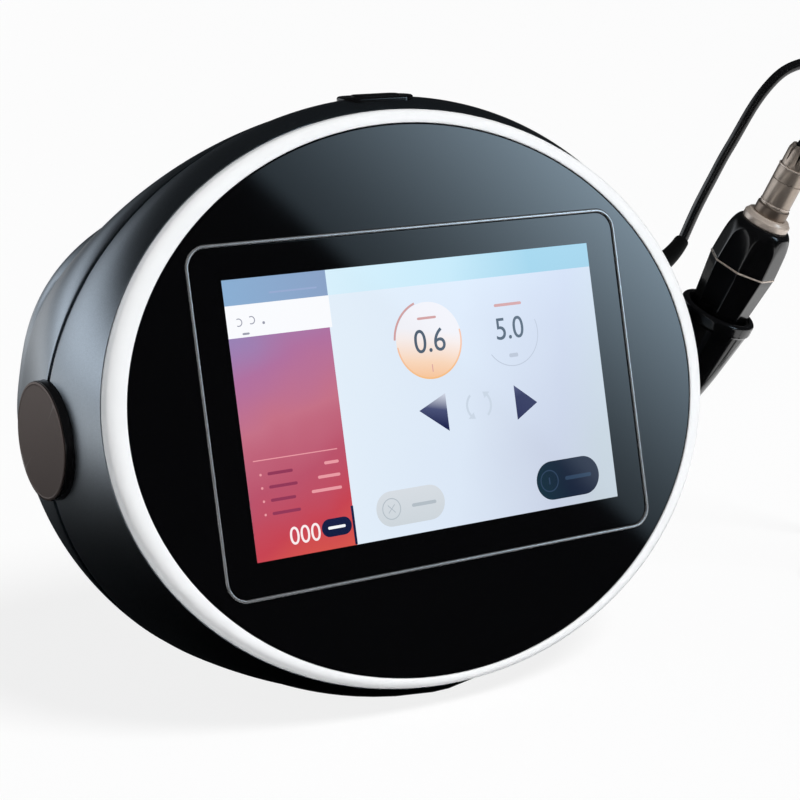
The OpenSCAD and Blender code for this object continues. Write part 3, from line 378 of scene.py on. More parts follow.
@dataclass(frozen=True)
class Finish:
    """One surface finish, and the material that shows it.

    Colours are linear. Grain is given by its cells per metre and its depth in metres.
    """

    name: str
    colour: Colour
    roughness: float
    metallic: float = 0.0
    specular: float = 0.5
    coat: float = 0.0
    coat_roughness: float = 0.08
    grain_scale: float = 1500.0
    grain_depth: float = 0.00002
    tone_spread: float = 0.06
    rough_spread: float = 0.08
    edge_wear: float = 0.0
    flakes: float = 0.0

    def material(self) -> Material:
        """Return the material, built on first use."""
        return bpy.data.materials.get(self.name) or self._build()

    def _build(self) -> Material:
        """Build the material's nodes.

        Returns:
            The material.
        """
        made, tree = new_material(self.name)
        group = add_node(tree, "ShaderNodeGroup", {
            "Colour": (*self.colour, 1), "Roughness": self.roughness,
            "Grain Scale": self.grain_scale, "Tone Spread": self.tone_spread,
            "Roughness Spread": self.rough_spread, "Edge Wear": self.edge_wear,
            "Flakes": self.flakes}, node_tree=SurfaceBreakup.tree()).outputs
        bump = add_node(tree, "ShaderNodeBump", {"Distance": self.grain_depth,
                                                 "Height": group["Height"]})
        feed(tree, tree.nodes["Principled BSDF"], {
            "Base Color": group["Colour"], "Roughness": group["Roughness"],
            "Normal": bump.outputs["Normal"], "Metallic": self.metallic,
            "Specular IOR Level": self.specular, "Coat Weight": self.coat,
            "Coat Roughness": self.coat_roughness})
        return made


@dataclass(frozen=True)
class Glow:
    """A lit colour of the display, which may run from one colour to others across the face.

    Stops are (share, linear colour) pairs. The share is 0 at start and 1 at end, which are places
    on the face in millimetres from its middle. Mottle breaks the run up a little.
    """

    name: str
    stops: tuple[tuple[float, Colour], ...]
    start: Flat = (0.0, -55.0)
    end: Flat = (0.0, 55.0)
    mottle: float = 0.12
    mottle_scale: float = 22.0

    def material(self) -> Material:
        """Return the material, built on first use."""
        return bpy.data.materials.get(self.name) or self._build()

    def _build(self) -> Material:
        """Build a glassy surface that gives off the colours.

        Returns:
            The material.
        """
        made, tree = new_material(self.name)
        place = own_place(tree)
        first, last = (FACE.point(u, v, 0) * MM for u, v in (self.start, self.end))
        way = last - first
        shifted = add_node(tree, "ShaderNodeVectorMath", {0: place, 1: first}, operation="SUBTRACT")
        along = dot(tree, shifted.outputs[0], way / way.length_squared)
        uneven = maths(tree, "MULTIPLY", noise(tree, place, self.mottle_scale, 2.0), self.mottle)
        ramp = add_node(tree, "ShaderNodeValToRGB", {"Fac": maths(tree, "ADD", along, uneven)})
        elements = ramp.color_ramp.elements
        for _ in range(len(self.stops) - 2):
            elements.new(0.5)
        for element, (at, colour) in zip(elements, self.stops):
            element.position = at
            element.color = (*colour, 1)
        feed(tree, tree.nodes["Principled BSDF"], {
            "Base Color": (0.004, 0.004, 0.005, 1), "Roughness": BLACK_GLASSY.roughness,
            "Emission Color": ramp.outputs["Color"], "Emission Strength": 1.0})
        return made


WHITE_GLOSS = Finish("white_gloss", (0.88, 0.885, 0.89), 0.34, coat=0.1, grain_depth=0.000004,
                     tone_spread=0.015, rough_spread=0.05)
BLACK_GLASSY = Finish("black_glassy", (0.0012, 0.0012, 0.0015), 0.045, grain_depth=0.0000001,
                      tone_spread=0.05, rough_spread=0.02)
SATIN_METAL = Finish("satin_blue_grey", (0.37, 0.415, 0.46), 0.36, metallic=1.0,
                     grain_scale=2600.0, grain_depth=0.000006, tone_spread=0.10,
                     rough_spread=0.06, flakes=0.22)
GROOVE_BLACK = Finish("groove_black", (0.004, 0.004, 0.005), 0.6)
MOULDED_BLACK = Finish("moulded_black", (0.005, 0.005, 0.0055), 0.40, specular=0.3,
                       grain_scale=1800.0, grain_depth=0.00003, tone_spread=0.2)
GLOSS_BLACK = Finish("piano_black", (0.003, 0.003, 0.0034), 0.14, specular=0.8,
                     grain_depth=0.000002, rough_spread=0.03)
RUBBER = Finish("soft_rubber", (0.004, 0.004, 0.004), 0.58, specular=0.15, grain_scale=2500.0,
                grain_depth=0.00005, tone_spread=0.25)
JACKET = Finish("jacket_skin", (0.005, 0.005, 0.0055), 0.24, specular=0.8, grain_scale=900.0,
                grain_depth=0.00001, tone_spread=0.2)
BRONZE = Finish("bronze_satin", (0.125, 0.098, 0.090), 0.40, metallic=0.9, grain_scale=2400.0,
                grain_depth=0.000012, tone_spread=0.14, edge_wear=0.5)
SILVER = Finish("silver_satin", (0.62, 0.63, 0.65), 0.24, metallic=0.8, grain_scale=2200.0,
                grain_depth=0.000005, tone_spread=0.06)
CHAMPAGNE = Finish("champagne_satin", (0.48, 0.40, 0.335), 0.32, metallic=0.75,
                   grain_scale=3200.0, grain_depth=0.00001, tone_spread=0.10, edge_wear=0.2)
DEEP_CHAMPAGNE = Finish("champagne_deep", (0.27, 0.215, 0.175), 0.36, metallic=0.85,
                        grain_scale=3200.0, grain_depth=0.00001, tone_spread=0.10)
PALE_CHAMPAGNE = Finish("champagne_pale", (0.68, 0.58, 0.505), 0.26, metallic=0.45,
                        grain_depth=0.000005, tone_spread=0.05)
ZINC = Finish("zinc_sheet", (0.52, 0.53, 0.55), 0.38, metallic=1.0, grain_scale=400.0,
              tone_spread=0.16, rough_spread=0.2)
DARK_STEEL = Finish("dark_steel", (0.10, 0.10, 0.105), 0.36, metallic=1.0, tone_spread=0.15,
                    edge_wear=0.4)
NICKEL = Finish("nickel", (0.66, 0.64, 0.60), 0.2, metallic=1.0, tone_spread=0.05)
BRASS = Finish("turned_brass", (0.60, 0.45, 0.20), 0.3, metallic=1.0, tone_spread=0.1)
BOARD = Finish("solder_mask", (0.01, 0.10, 0.045), 0.35, coat=0.4, grain_scale=700.0,
               tone_spread=0.3)
WHITE_PLASTIC = Finish("white_plastic", (0.78, 0.79, 0.80), 0.35, grain_depth=0.00001,
                       tone_spread=0.03)
FILM = Finish("clear_film", (0.52, 0.60, 0.66), 0.15, coat=0.5, tone_spread=0.03)
CERAMIC = Finish("silvered_ceramic", (0.55, 0.50, 0.40), 0.3, metallic=0.7, tone_spread=0.1)


# Mesh building

def array(points: Iterable[Sequence[float]]) -> np.ndarray:
    """Return points as an array of rows."""
    return np.array([tuple(p) for p in points], float)


@contextmanager
def edited(mesh: bpy.types.Mesh) -> Iterator[bmesh.types.BMesh]:
    """Open a mesh for changes, and write them back.

    Args:
        mesh: The mesh.

    Yields:
        The open mesh.
    """
    work = bmesh.new()
    work.from_mesh(mesh)
    yield work
    work.to_mesh(mesh)
    work.free()


def placed(name: str, data: object) -> Piece:
    """Put a new object into the scene.

    Args:
        name: Its name.
        data: Its mesh, curve, camera or lamp.

    Returns:
        The object.
    """
    made = bpy.data.objects.new(name, data)
    bpy.context.scene.collection.objects.link(made)
    return made


def smoothed(mesh: bpy.types.Mesh, sharp_deg: float) -> None:
    """Shade a mesh smooth, except at edges that bend by more than an angle."""
    mesh.polygons.foreach_set("use_smooth", [True] * len(mesh.polygons))
    mesh.set_sharp_from_angle(angle=math.radians(sharp_deg))


def dress(mesh: bpy.types.Mesh, finish: Finish | Glow) -> None:
    """Give a mesh one finish in place of all that it has."""
    mesh.materials.clear()
    mesh.materials.append(finish.material())


def point_outwards(mesh: bpy.types.Mesh) -> None:
    """Turn the faces of a closed mesh outwards, by the sign of its volume.

    Args:
        mesh: The mesh.
    """
    work = bmesh.new()
    work.from_mesh(mesh)
    if work.calc_volume(signed=True) < 0:
        bmesh.ops.reverse_faces(work, faces=work.faces)
        work.to_mesh(mesh)
    work.free()


def build(name: str, points: np.ndarray, faces: Sequence[Sequence[int]], finish: Finish | Glow,
          sharp_deg: float = SHARP_DEG) -> Piece:
    """Make a closed mesh object from points in millimetres.

    Args:
        name: The piece's name.
        points: Rows of x, y, z.
        faces: Vertex numbers of each face.
        finish: What the piece is finished with.
        sharp_deg: Edges bent more than this stay sharp.

    Returns:
        The object, at the origin.
    """
    mesh = bpy.data.meshes.new(name)
    mesh.from_pydata((np.asarray(points, float) * MM).tolist(), [], [list(f) for f in faces])
    mesh.validate()
    point_outwards(mesh)
    smoothed(mesh, sharp_deg)
    mesh.materials.append(finish.material())
    return placed(name, mesh)


def seat(piece: Piece, body: Body, slot: str, *nodes: str) -> Piece:
    """Put a finished piece on its body, name its slot, and let it stand for CAD nodes.

    Args:
        piece: The finished object.
        body: The body that carries it.
        slot: The record's material slot.
        nodes: The CAD nodes that it replaces.

    Returns:
        The piece.
    """
    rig.ride(piece, body.value)
    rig.slot(piece, slot)
    if nodes:
        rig.replaces(piece, *nodes)
    log.info("%s on %s, %d faces", piece.name, body.value, len(piece.data.polygons))
    return piece


def ring_faces(rows: int, around: int, closed: bool) -> list[Sequence[int]]:
    """Return the quads of a skin through rows of points.

    Args:
        rows: Number of rows.
        around: Points in each row.
        closed: True if the last row joins the first.

    Returns:
        Four vertex numbers for each quad.
    """
    faces: list[Sequence[int]] = []
    for j in range(rows if closed else rows - 1):
        k = (j + 1) % rows
        for i in range(around):
            n = (i + 1) % around
            faces.append((j * around + i, j * around + n, k * around + n, k * around + i))
    return faces


def band(name: str, rows: Sequence[np.ndarray], finish: Finish, sharp_deg: float = SHARP_DEG
         ) -> Piece:
    """Make a closed band, such as a bezel or a shell with its wall, through rows of points."""
    faces = ring_faces(len(rows), len(rows[0]), closed=True)
    return build(name, np.vstack(rows), faces, finish, sharp_deg)


def loft(name: str, rows: Sequence[np.ndarray], finish: Finish | Glow, sharp_deg: float = SHARP_DEG
         ) -> Piece:
    """Make a closed body through rows of points, with a flat end at each side.

    Args:
        name: The piece's name.
        rows: The rows, of as many points each.
        finish: The finish.
        sharp_deg: Edges bent more than this stay sharp.

    Returns:
        The object.
    """
    around = len(rows[0])
    last = (len(rows) - 1) * around
    faces = ring_faces(len(rows), around, closed=False)
    faces += [list(range(around))[::-1], list(range(last, last + around))]
    return build(name, np.vstack(rows), faces, finish, sharp_deg)


def at_height(outline: Iterable[Flat], z: float) -> np.ndarray:
    """Return an outline's points at one height of the model."""
    return array((x, y, z) for x, y in outline)


def quarter(radius: float, top: float, steps: int) -> list[Flat]:
    """Return (inset, height) steps of a rounded upper edge."""
    return [(radius * (1 - math.cos(t)), top - radius + radius * math.sin(t))
            for t in np.radians(np.linspace(0, QUARTER_TURN, steps))]


def fillet(profile: Sequence[Point], steps: int = 4) -> list[Flat]:
    """Round the corners of a profile.

    Args:
        profile: (radius, height, rounding) of each corner.
        steps: Segments of each rounding.

    Returns:
        The profile's points as (radius, height).
    """
    made: list[Flat] = []
    for i, (r, z, size) in enumerate(profile):
        if size <= 0 or i in (0, len(profile) - 1):
            made.append((r, z))
            continue
        here = Vector((r, z))
        before, after = (Vector(profile[k][:2]) - here for k in (i - 1, i + 1))
        reach = min(size, before.length * 0.49, after.length * 0.49)
        start, end = here + before.normalized() * reach, here + after.normalized() * reach
        for k in range(steps + 1):
            t = k / steps
            p = start * (1 - t) ** 2 + here * 2 * t * (1 - t) + end * t ** 2
            made.append((p.x, p.y))
    return made


def lathe(name: str, profile: Sequence[Flat], place: Matrix, finish: Finish, around: int = 96,
          ring: bool = False) -> Piece:
    """Turn a profile round the local Z axis.

    Args:
        name: The piece's name.
        profile: (radius, height) points; a radius of 0 is a pole.
        place: Where the local frame lies, in millimetres.
        finish: The finish.
        around: Segments of a full turn.
        ring: True if the profile is a loop, such as a tube's wall.

    Returns:
        The object.
    """
    points: list[Vector] = []
    rows: list[list[int]] = []
    for r, z in profile:
        count = 1 if r < 1e-6 else around
        rows.append(list(range(len(points), len(points) + count)))
        points += [Vector((r * math.cos(2 * math.pi * i / around),
                           r * math.sin(2 * math.pi * i / around), z)) for i in range(count)]
    faces: list[Sequence[int]] = []
    for low, high in list(zip(rows, rows[1:])) + ([(rows[-1], rows[0])] if ring else []):
        below, above = len(low), len(high)
        for i in range(around if below + above > 2 else 0):
            n = (i + 1) % around
            faces.append(tuple(dict.fromkeys((low[i % below], low[n % below], high[n % above],
                                              high[i % above]))))
    return build(name, array(place @ p for p in points), faces, finish)


def borer(radius: float, low: float, high: float, place: Matrix, around: int = 96) -> Piece:
    """Return a round cutter between two heights of a frame."""
    return lathe("borer", [(0, low), (radius, low), (radius, high), (0, high)], place,
                 GROOVE_BLACK, around)


def swept(name: str, path: np.ndarray, radii: Sequence[float], finish: Finish, sides: int = 20,
          start: Point = (0, 0, 1)) -> Piece:
    """Sweep a round section along a path, with closed ends.

    Args:
        name: The piece's name.
        path: Rows of points.
        radii: The radius at each point.
        finish: The finish.
        sides: Segments round the section.
        start: A direction across the path at its first point.

    Returns:
        The object.
    """
    tangents = np.gradient(path, axis=0)
    tangents /= np.linalg.norm(tangents, axis=1)[:, None]
    side = np.array(start, float)
    angles = np.linspace(0, 2 * math.pi, sides, endpoint=False)
    rows = []
    for point, tangent, radius in zip(path, tangents, radii):
        side = side - side @ tangent * tangent
        side /= np.linalg.norm(side)
        other = np.cross(tangent, side)
        rows.append(point + radius * (np.outer(np.cos(angles), side)
                                      + np.outer(np.sin(angles), other)))
    return loft(name, rows, finish)


def smooth_path(points: Sequence[Point], per_span: int = 5) -> np.ndarray:
    """Return an evenly smooth curve through points, with its ends kept.

    Args:
        points: The route's points.
        per_span: New points in each span.

    Returns:
        Rows of points.
    """
    p = array(points)
    p = np.vstack([2 * p[0] - p[1], p, 2 * p[-1] - p[-2]])
    made = []
    for i in range(1, len(p) - 2):
        a, b, c, d = p[i - 1:i + 3]
        for k in range(per_span):
            t = k / per_span
            made.append(0.5 * (2 * b + (c - a) * t + (2 * a - 5 * b + 4 * c - d) * t ** 2
                               + (3 * b - a - 3 * c + d) * t ** 3))
    curve = np.array(made + [p[-2]])
    for _ in range(8):
        curve[2:-2] = (curve[1:-3] + 2 * curve[2:-2] + curve[3:-1]) / 4
    return curve


def path_length(path: np.ndarray) -> float:
    """Return a path's length."""
    return float(np.linalg.norm(np.diff(path, axis=0), axis=1).sum())


def bake(piece: Piece) -> None:
    """Turn a piece's modifiers into its plain mesh.

    Args:
        piece: The object.
    """
    bpy.context.view_layer.update()
    shown = bpy.context.evaluated_depsgraph_get()
    mesh = bpy.data.meshes.new_from_object(piece.evaluated_get(shown), depsgraph=shown)
    piece.modifiers.clear()
    piece.data = mesh


def cut(piece: Piece, tools: Sequence[Piece]) -> Piece:
    """Cut closed tool meshes out of a piece, and remove the tools.

    Args:
        piece: The object to cut.
        tools: The cutters.

    Returns:
        The piece.
    """
    for tool in tools:
        change = piece.modifiers.new("cut", "BOOLEAN")
        change.operation = "DIFFERENCE"
        change.solver = "EXACT"
        change.object = tool
    bake(piece)
    for tool in tools:
        bpy.data.objects.remove(tool)
    piece.data.set_sharp_from_angle(angle=math.radians(SHARP_DEG))
    return piece


def merged(name: str, parts: Sequence[Piece]) -> Piece:
    """Join mesh objects into one, and remove the parts.

    Args:
        name: The new object's name.
        parts: The objects, of which the first gives the material.

    Returns:
        The new object.
    """
    mesh = bpy.data.meshes.new(name)
    with edited(mesh) as work:
        for part in parts:
            work.from_mesh(part.data)
    mesh.materials.append(parts[0].data.materials[0])
    for part in parts:
        bpy.data.objects.remove(part)
    return placed(name, mesh)


def softened(node: str, finish: Finish, width: float) -> Piece:
    """Copy a CAD node with its edges rounded.

    Args:
        node: The node's name.
        finish: The finish.
        width: Width of the rounding.

    Returns:
        The copy, which still has to be seated.
    """
    mesh = frame["nodes"][node].data.copy()
    with edited(mesh) as work:
        bmesh.ops.remove_doubles(work, verts=work.verts, dist=0.000002)
        bmesh.ops.dissolve_limit(work, angle_limit=math.radians(1.0), verts=work.verts,
                                 edges=work.edges)
    dress(mesh, finish)
    made = placed(node + "_soft", mesh)
    change = made.modifiers.new("edge", "BEVEL")
    change.width = width * MM
    change.segments = EDGE_STEPS
    change.limit_method = "ANGLE"
    change.angle_limit = math.radians(SHARP_DEG)
    bake(made)
    smoothed(made.data, SOFT_SHARP_DEG)
    return made


def arc(middle: Flat, radius: float, start_deg: float, end_deg: float, steps: int = 24
        ) -> list[Flat]:
    """Return points of a circular arc."""
    turns = np.radians(np.linspace(start_deg, end_deg, steps + 1))
    return [(middle[0] + radius * math.cos(t), middle[1] + radius * math.sin(t)) for t in turns]


def rounded_rect(length: float, width: float, corner: float, middle: Flat = (0.0, 0.0),
                 per_corner: int = 12, per_side: int = 1) -> list[Flat]:
    """Return a rectangle with rounded corners, counter-clockwise.

    Args:
        length: Its size along the first axis.
        width: Its size along the second axis.
        corner: The corners' radius.
        middle: Its middle.
        per_corner: Segments of each corner.
        per_side: Segments of each straight side.

    Returns:
        The outline's points.
    """
    corner = min(corner, length / 2, width / 2)
    corners = [arc((middle[0] + x * (length / 2 - corner), middle[1] + y * (width / 2 - corner)),
                   corner, 90 * k, 90 * k + 90, per_corner)
               for k, (x, y) in enumerate(((1, 1), (-1, 1), (-1, -1), (1, -1)))]
    made: list[Flat] = []
    for here, after in zip(corners, corners[1:] + corners[:1]):
        made += here
        (x0, y0), (x1, y1) = here[-1], after[0]
        made += [(x0 + (x1 - x0) * k / per_side, y0 + (y1 - y0) * k / per_side)
                 for k in range(1, per_side)]
    return [p for p, q in zip(made, made[1:] + made[:1]) if math.dist(p, q) > 1e-6]


def inset(outline: Sequence[Flat], by: float) -> list[Flat]:
    """Move a closed outline inwards, along the normals of its corners.

    Args:
        outline: The outline, counter-clockwise.
        by: How far; less than 0 is outwards.

    Returns:
        The moved outline.
    """
    made = []
    for i, here in enumerate(outline):
        before, after = Vector(outline[i - 1]), Vector(outline[(i + 1) % len(outline)])
        normal = Vector((0, 0))
        for way in (Vector(here) - before, after - Vector(here)):
            normal += Vector((-way.y, way.x)).normalized()
        made.append(tuple(Vector(here) + normal.normalized() * by))
    return made


def slab(name: str, outline: Sequence[Flat], low: float, high: float, edge: float, put: Place,
         finish: Finish, crown: float = 0.0) -> Piece:
    """Make a flat plate with a rounded upper edge.

    Args:
        name: The piece's name.
        outline: The plate's outline, counter-clockwise.
        low: Height of its underside.
        high: Height of its top.
        edge: Radius of the upper edge.
        put: Places (x, y, height) in the model's frame.
        finish: The finish.
        crown: How far the middle of the top stands above the rest.

    Returns:
        The object.
    """
    rows = [[put(x, y, low) for x, y in outline]]
    rows += [[put(x, y, z) for x, y in inset(outline, off)] for off, z in quarter(edge, high, 5)]
    rows.append([put(x, y, high) for x, y in inset(outline, edge + 0.3)])
    if crown > 0:
        top = inset(outline, edge)
        middle = np.mean(array(top), axis=0)
        for share in (0.75, 0.5, 0.25, 0.08):
            rows.append([put(*(middle + (array([p])[0] - middle) * share),
                             high + crown * (1 - share ** 2)) for p in top])
    return loft(name, [array(r) for r in rows], finish, sharp_deg=50.0)


def plain(x: float, y: float, z: float) -> Vector:
    """Place a point straight in the model's frame."""
    return Vector((x, y, z))


# Frames of the machine's parts

@dataclass(frozen=True)
class FaceFrame:
    """The leaning plane of the oval face: u to the right, v up the face, w out of it."""

    lean_deg: float = 13.7
    middle: Point = (0.0, -46.0, 122.0)

    def point(self, u: float, v: float, w: float) -> Vector:
        """Return the model point of a place on the face.

        Args:
            u: How far right of the middle.
            v: How far up the face.
            w: How far out of it.

        Returns:
            The point.
        """
        lean = math.radians(self.lean_deg)
        x, y, z = self.middle
        return Vector((x + u, y + v * math.sin(lean) - w * math.cos(lean),
                       z + v * math.cos(lean) + w * math.sin(lean)))

    def normal(self) -> Vector:
        """Return the direction out of the face."""
        return (self.point(0, 0, 1) - self.point(0, 0, 0)).normalized()


@dataclass(frozen=True)
class HolderFrame:
    """The handpiece's axis: local Z runs up the handpiece, with 0 at the arm's height."""

    middle: Point = (177.0, 0.0, 114.4)
    lean_deg: float = 22.0
    splay_deg: float = 14.0

    def matrix(self) -> Matrix:
        """Return the frame as a matrix, in millimetres."""
        return (Matrix.Translation(self.middle)
                @ Matrix.Rotation(math.radians(self.splay_deg), 4, "Y")
                @ Matrix.Rotation(math.radians(self.lean_deg), 4, "X"))

    def put(self, x: float, y: float, z: float) -> Vector:
        """Return the model point of a place beside the axis."""
        return self.matrix() @ Vector((x, y, z))


FACE = FaceFrame()
HOLDER = HolderFrame()


def along_x(x: float, y: float, z: float, side: int = 1) -> Matrix:
    """Return a frame whose local Z points sideways, away from the middle plane."""
    return Matrix.Translation((x, y, z)) @ Matrix.Rotation(math.radians(90 * side), 4, "Y")


def oval(half_w: float, half_h: float, around: int, squareness: float = 2.0) -> np.ndarray:
    """Return the outline of a superellipse.

    Args:
        half_w: Half its width.
        half_h: Half its height.
        around: Number of points.
        squareness: 2 is an ellipse, and more is squarer.

    Returns:
        Rows of x, y.
    """
    t = np.linspace(0, 2 * math.pi, around, endpoint=False)
    c, s = np.cos(t), np.sin(t)
    power = 2.0 / squareness
    return np.stack([half_w * np.sign(c) * np.abs(c) ** power,
                     half_h * np.sign(s) * np.abs(s) ** power], axis=1)


# Repeats, by Geometry Nodes

class Repeat:
    """A Geometry Nodes tree that repeats something, with a finish on its realized copies."""

    NAME = ""
    SIZES: tuple[str, ...] = ()

    @classmethod
    def tree(cls) -> Tree:
        """Return the tree, built on first use."""
        return bpy.data.node_groups.get(cls.NAME) or cls._build()

    @classmethod
    def _build(cls) -> Tree:
        """Build the tree's nodes.

        Returns:
            The tree.
        """
        tree = bpy.data.node_groups.new(cls.NAME, "GeometryNodeTree")
        new_socket(tree, "Geometry", Socket.GEOMETRY)
        new_socket(tree, "Count", Socket.INT)
        for name in cls.SIZES:
            new_socket(tree, name, Socket.FLOAT)
        new_socket(tree, "Material", Socket.MATERIAL)
        new_socket(tree, "Geometry", Socket.GEOMETRY, output=True)
        given = add_node(tree, "NodeGroupInput").outputs
        real = add_node(tree, "GeometryNodeRealizeInstances", {0: cls.copies(tree, given)})
        done = add_node(tree, "GeometryNodeSetMaterial", {"Geometry": real.outputs[0],
                                                          "Material": given["Material"]})
        add_node(tree, "NodeGroupOutput", {0: done.outputs[0]})
        return tree

    @classmethod
    def copies(cls, tree: Tree, given: bpy.types.NodeOutputs) -> Wire:
        """Return the instances, which each kind of repeat places in its own way."""
        raise NotImplementedError


class PolarRepeat(Repeat):
    """Repeats a part evenly round the local Z axis."""

    NAME = "polar_repeat"

    @classmethod
    def copies(cls, tree: Tree, given: bpy.types.NodeOutputs) -> Wire:
        """Turn each copy by its share of a full turn.

        Args:
            tree: The tree.
            given: The tree's inputs.

        Returns:
            The instances.
        """
        turn = maths(tree, "DIVIDE", 2 * math.pi, given["Count"])
        turn = maths(tree, "MULTIPLY", turn, add_node(tree, "GeometryNodeInputIndex").outputs[0])
        return add_node(tree, "GeometryNodeInstanceOnPoints", {
            "Points": add_node(tree, "GeometryNodePoints", {"Count": given["Count"]}).outputs[0],
            "Instance": given["Geometry"],
            "Rotation": add_node(tree, "ShaderNodeCombineXYZ", {"Z": turn}).outputs[0]}).outputs[0]


class PathRepeat(Repeat):
    """Threads rings on a path, such as a strain relief's ribs."""

    NAME = "path_repeat"
    SIZES = ("First Radius", "Last Radius", "Rib Radius")

    @classmethod
    def copies(cls, tree: Tree, given: bpy.types.NodeOutputs) -> Wire:
        """Put a ring on each point of the path, with a radius between the first and the last.

        Args:
            tree: The tree.
            given: The tree's inputs.

        Returns:
            The instances.
        """
        curve = add_node(tree, "GeometryNodeMeshToCurve", {0: given["Geometry"]})
        points = add_node(tree, "GeometryNodeCurveToPoints", {"Curve": curve.outputs[0],
                                                              "Count": given["Count"]}).outputs
        thin = maths(tree, "DIVIDE", given["Rib Radius"], given["First Radius"])
        spine, section = (add_node(tree, "GeometryNodeCurvePrimitiveCircle", {
            "Resolution": sides, "Radius": radius}).outputs[0]
            for sides, radius in ((40, 1.0), (10, thin)))
        rib = add_node(tree, "GeometryNodeCurveToMesh", {"Curve": spine, "Profile Curve": section})
        share = maths(tree, "DIVIDE", add_node(tree, "GeometryNodeInputIndex").outputs[0],
                      maths(tree, "SUBTRACT", given["Count"], 1.0))
        change = maths(tree, "SUBTRACT", given["Last Radius"], given["First Radius"])
        size = maths(tree, "ADD", maths(tree, "MULTIPLY", change, share), given["First Radius"])
        return add_node(tree, "GeometryNodeInstanceOnPoints", {
            "Points": points["Points"], "Rotation": points["Rotation"],
            "Instance": rib.outputs[0], "Scale": size}).outputs[0]


def grow(piece: Piece, tree: Tree, sizes: dict[str, object], finish: Finish) -> Piece:
    """Run a Geometry Nodes tree on a piece and keep the result as its plain mesh.

    Args:
        piece: The object with the tree's input geometry.
        tree: The tree.
        sizes: Values by the names of the tree's inputs.
        finish: The finish of the result.

    Returns:
        The piece.
    """
    change = piece.modifiers.new("repeat", "NODES")
    change.node_group = tree
    values = dict(sizes, Material=finish.material())
    for item in tree.interface.items_tree:
        if item.in_out == "INPUT" and item.name in values:
            change[item.identifier] = values[item.name]
    bake(piece)
    smoothed(piece.data, SOFT_SHARP_DEG)
    return piece


def path_object(name: str, path: np.ndarray) -> Piece:
    """Make an object whose edges follow a path.

    Args:
        name: Its name.
        path: Rows of points.

    Returns:
        The object.
    """
    mesh = bpy.data.meshes.new(name)
    mesh.from_pydata((path * MM).tolist(), [(i, i + 1) for i in range(len(path) - 1)], [])
    return placed(name, mesh)


# Studio

